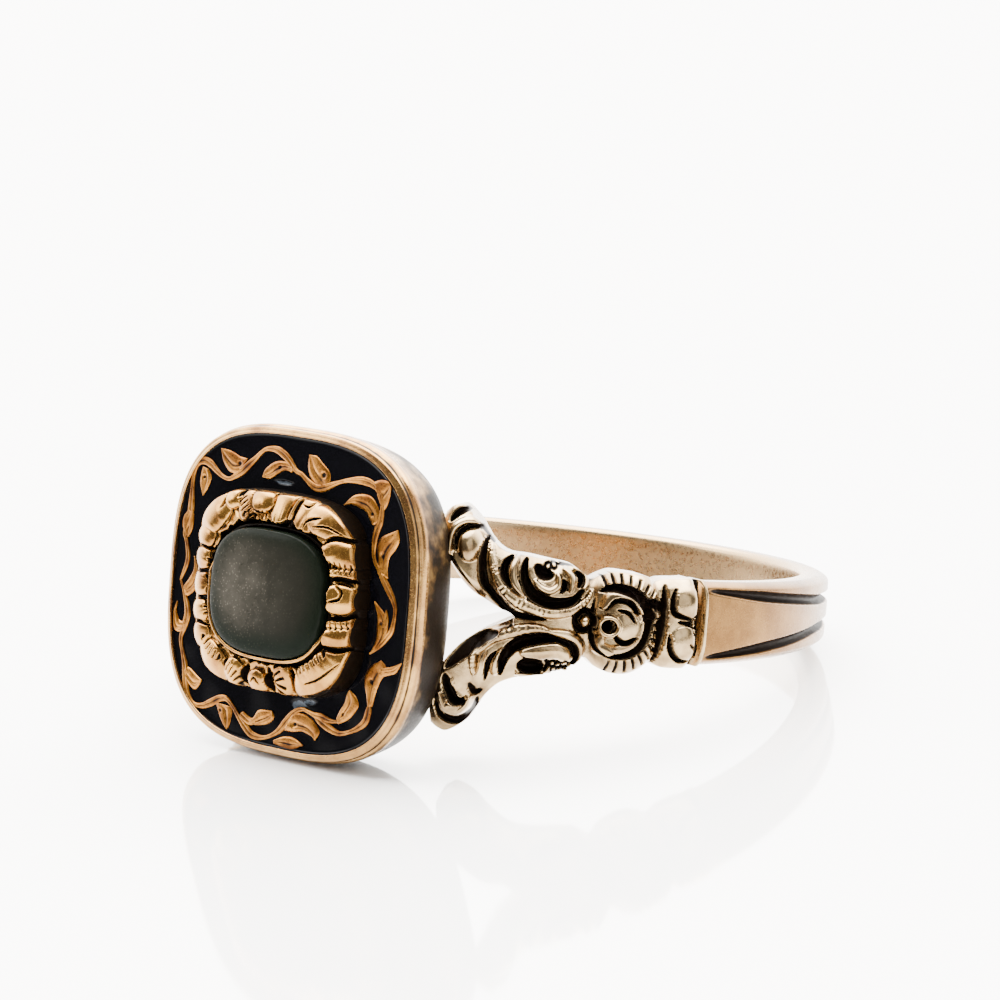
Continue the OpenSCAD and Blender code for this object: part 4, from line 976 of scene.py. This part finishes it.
def makeBorder():
    # grid of angle by t from the jagged inner edge to the crest: a slope, plus the lobes, less the cuts
    angles = fullTurn(border["around"])[:, None]
    inner = cushionRing(border["hole"], border["holeSquare"], angles) + [border["centre"], 0]
    # the leaf tips reach in by different amounts
    few, many = border["jagWaves"]
    jag = border["jag"] * unit(np.sin(few * angles)) + border["jag"] * unit(np.sin(many * angles + 1))
    inner = inner * (1 + jag / 2)[..., None]
    outer = cushionRing(border["half"], border["square"], angles)
    t = np.linspace(0, 1, border["across"])[None, :, None]
    inset = border["topInset"] / 2
    crest = cushionRing((border["half"][0] - inset, border["half"][1] - border["sideInset"]), border["square"],
                        angles)
    crest = crest - [inset, 0]
    flat = inner + (crest - inner) * t
    x, y = flat[..., 0], flat[..., 1]
    t = t[..., 0] + 0 * x
    raised, cut = borderRelief(x, y)
    height = border["innerRise"] + (border["outerRise"] - border["innerRise"]) * t - border["ground"] + raised - cut
    height -= (border["outerRound"] * unit((t - border["outerFrom"]) / border["outerRun"]) ** 2
               + border["innerRound"] * unit((border["innerRun"] - t) / border["innerRun"]) ** 2)
    height = np.maximum(height, border["lowest"])
    low = unit((softened(height, border["shadeCells"], closed=True) - height) / border["shadeDeep"])
    # painted shade along the inner edge, where the glass sits below it
    nearHole = unit((border["edgeShade"] - t) / border["edgeShade"])
    recess = unit(low + unit(cut / border["cutShade"]) + nearHole)
    foot = np.full_like(height[:, :1], border["foot"])
    x = np.concatenate([x, x[:, -1:], outer[..., 0], x[:, :1]], 1)
    y = np.concatenate([y, y[:, -1:], outer[..., 1], y[:, :1]], 1)
    height = np.concatenate([height, height[:, -1:] - border["wallDrop"], foot, foot], 1)
    # the outer wall and its foot are painted fully dark: painted shade and a painted reflection of the black enamel
    recess = np.concatenate([recess, np.ones((len(recess), 3))], 1)
    mesh = makeMesh("chasedBorder", *closedRing(x, y, height), borderGold, {"recess": recess})
    return own(mesh, "chased_border")


makeBorder()
print("border made")

# collet, glass and hair panel, in mm
window = {
    "half": (2.38, 1.95), "square": 2.9, "centre": -0.1, "around": 240, "edge": 0.84, "dome": 0.24, "domeRows": 22,
    "fit": 0.03, "wall": 0.11, "lipDrop": 0.3, "panelTop": -0.08, "floor": -0.3, "panelRows": 30,
    # painted sheen on the glass's film: middle x, y and reach across, along
    "filmSheen": (-1.1, 0.0, 1.5, 1.2),
    # darker edges, partly painted shade: the share of the size where they start, how far they run, and how much
    # sooner at the bottom
    "glassEdge": (0.72, 0.28, 0.2), "panelEdge": (0.55, 0.45),
    # the collet's top: how far out of its inner wall, height over the edge, darkness
    "lip": [(0, -0.02, 0), (0.02, 0.01, 0), (0.055, 0.025, 0), (0.09, 0.005, 0.2), (0.11, -0.04, 1)],
    "lipTurn": 0.35, "lipFrom": 0.1, "lipRun": 0.3, "lipDark": 0.95,
    # the glass: its upright side ends under the edge, a bevel leads to the dome, a hole is left at the pole to cap
    "sideDrop": 0.05, "bevel": 0.02, "bevelShares": (0.995, 0.99), "poleGap": 0.03,
    "panelShares": (0.98, 0.03),
}


def windowLoops(rows, angles):
    # cushion outlines one after another; rows: growth of the half size, share of the half size, height
    half = np.array(window["half"])
    flat = np.stack([cushionRing(half * share + grow, window["square"], angles) for grow, share, z in rows])
    height = np.array([z for grow, share, z in rows])[:, None] + 0 * angles
    return onFace(flat[..., 0] + window["centre"], flat[..., 1], height)


def makeCollet(angles):
    # a thin wall with a rounded lip, carried round the outline
    fit, floor = window["fit"], window["floor"]
    rows = [(fit + out, 1, window["edge"] + up) for out, up, dark in window["lip"]]
    points = windowLoops([(fit, 1, floor)] + rows + [(fit + window["wall"], 1, floor)], angles)
    # the wall is rubbed down except along the bottom, where its lip shows
    shown = unit((-np.sin(angles + window["lipTurn"]) + window["lipFrom"]) / window["lipRun"])
    points[1:-1, :, 1] += window["lipDrop"] * (1 - shown)
    dark = np.array([1] + [row[2] for row in window["lip"]] + [1])
    # where the wall is lowered under the border it is painted dark: painted shade between the glass and the border
    recess = np.maximum(dark[:, None], window["lipDark"] * (1 - shown))
    faces = gridFaces(*points.shape[:2], closedRows=True, closedColumns=True)
    own(makeMesh("glassCollet", lay(points), faces, borderGold, {"recess": recess}), "glass_collet")


def makeGlass(angles):
    # dome: share cos a, height sin a, over a short upright side
    edge, bevel, (low, high) = window["edge"], window["bevel"], window["bevelShares"]
    rows = [(0, 1, 0.0), (0, 1, edge - window["sideDrop"]), (0, low, edge)]
    rows += [(0, high * math.cos(a), edge + bevel + (window["dome"] - bevel) * math.sin(a))
             for a in np.linspace(0, np.pi / 2 - window["poleGap"], window["domeRows"])]
    points = windowLoops(rows, angles)
    share = np.array([row[1] for row in rows])[:, None]
    # the glass is darker to its edge, and sooner towards the bottom as painted shade under the border
    lower = unit(-np.sin(angles))
    start, run, sooner = window["glassEdge"]
    nearEdge = unit((share - start + sooner * lower) / run) * (0.8 + 0.2 * lower)
    # painted sheen: the film is lightened in a soft bell over its middle, exp(-(dx / a)^2 - (dy / b)^2)
    x, y = window["half"][0] * share * np.cos(angles), window["half"][1] * share * np.sin(angles)
    fx, fy, reachX, reachY = window["filmSheen"]
    filmSheen = np.exp(-((x - fx) / reachX) ** 2 - ((y - fy) / reachY) ** 2)
    faces = tubeFaces(*points.shape[:2])[:, ::-1]
    mesh = makeMesh("domedGlass", lay(points), faces, glassClear, {"nearEdge": nearEdge, "filmSheen": filmSheen})
    own(mesh, "domed_glass")


def makePanel(angles):
    # a flat plate: outlines that shrink to the middle over an upright side
    shares = np.linspace(*window["panelShares"], window["panelRows"])
    rows = [(0, 1, window["floor"]), (0, 1, window["panelTop"])] + [(0, s, window["panelTop"]) for s in shares]
    points = windowLoops(rows, angles)
    start, run = window["panelEdge"]
    nearEdge = np.concatenate([[1, 1], unit((shares - start) / run)])[:, None] + 0 * angles
    faces = tubeFaces(*points.shape[:2])[:, ::-1]
    own(makeMesh("hairPanel", lay(points), faces, hairDark, {"nearEdge": nearEdge}), "hair_panel")


windowAngles = fullTurn(window["around"])
makeCollet(windowAngles)
makeGlass(windowAngles)
makePanel(windowAngles)
print("window made")

# white glossy table and soft studio light: white behind the ring, darker on the camera's side
studio = {
    "tableHalf": 1.2, "tableColour": "#f6f4f2", "tableRough": 0.06, "tableIor": 2.1,
    "white": 12.0, "dim": 0.42, "skyColour": "#fffdfa", "skyLean": (0.9, 0.45), "skyEdge": (0.1, 0.7),
    "sunPower": 18.0, "sunAngle": 75, "sunTilt": (-18, -12),        # degrees
    # place in metres, size and watts: the left one for the sheen on the glass, the right one for the shoulder
    "softLights": {"left": ((-0.3, -0.22, 0.2), 0.12, 0.5), "right": ((0.3, -0.04, 0.16), 0.3, 0.7)},
}


# polished white acrylic sheet: it mirrors the ring and spreads the light under it
def makeTable():
    material, add = newMaterial("glossyWhiteTable")
    shader = add("BsdfPrincipled", {"Base Color": hexColour(studio["tableColour"]),
                                    "Roughness": studio["tableRough"],
                                    "IOR": studio["tableIor"]})
    add("OutputMaterial", {"Surface": shader})
    h = studio["tableHalf"]
    corners = [(-h, -h, 0), (h, -h, 0), (h, h, 0), (-h, h, 0)]
    makeMesh("table", corners, [(0, 1, 2, 3)], material, smooth=False)


def makeSky():
    world = bpy.data.worlds.new("studio")
    world.use_nodes = True
    tree = world.node_tree
    background = tree.nodes["Background"]
    across, up = studio["skyLean"]
    toBack = (-math.sin(cameraFit["azimuth"]) * across, math.cos(cameraFit["azimuth"]) * across, up)
    look = addNode(tree, "TexCoord", out="Generated")
    facing = addNode(tree, "VectorMath", {0: look, 1: toBack}, out="Value", operation="DOT_PRODUCT")
    bright = addNode(tree, "MapRange", {"Value": facing, "From Min": studio["skyEdge"][0],
                                        "From Max": studio["skyEdge"][1], "To Min": studio["dim"],
                                        "To Max": studio["white"]}, interpolation_type="SMOOTHSTEP")
    tree.links.new(bright, background.inputs["Strength"])
    background.inputs["Color"].default_value = hexColour(studio["skyColour"])
    bpy.context.scene.world = world


def makeLights():
    sun = bpy.data.lights.new("overhead", "SUN")
    sun.energy = studio["sunPower"]
    sun.angle = math.radians(studio["sunAngle"])
    lamp = bpy.data.objects.new("overhead", sun)
    lamp.rotation_euler = (*np.radians(studio["sunTilt"]), 0)
    bpy.context.scene.collection.objects.link(lamp)
    for name, (spot, size, power) in studio["softLights"].items():
        data = bpy.data.lights.new(name, "AREA")
        data.size, data.energy = size, power
        away = np.array(spot) / np.linalg.norm(spot)
        side = np.cross([0, 0, 1], away)
        side /= np.linalg.norm(side)
        placeObject(name, data, [side, np.cross(away, side), away], spot)


makeTable()
makeSky()
makeLights()
print("studio made")
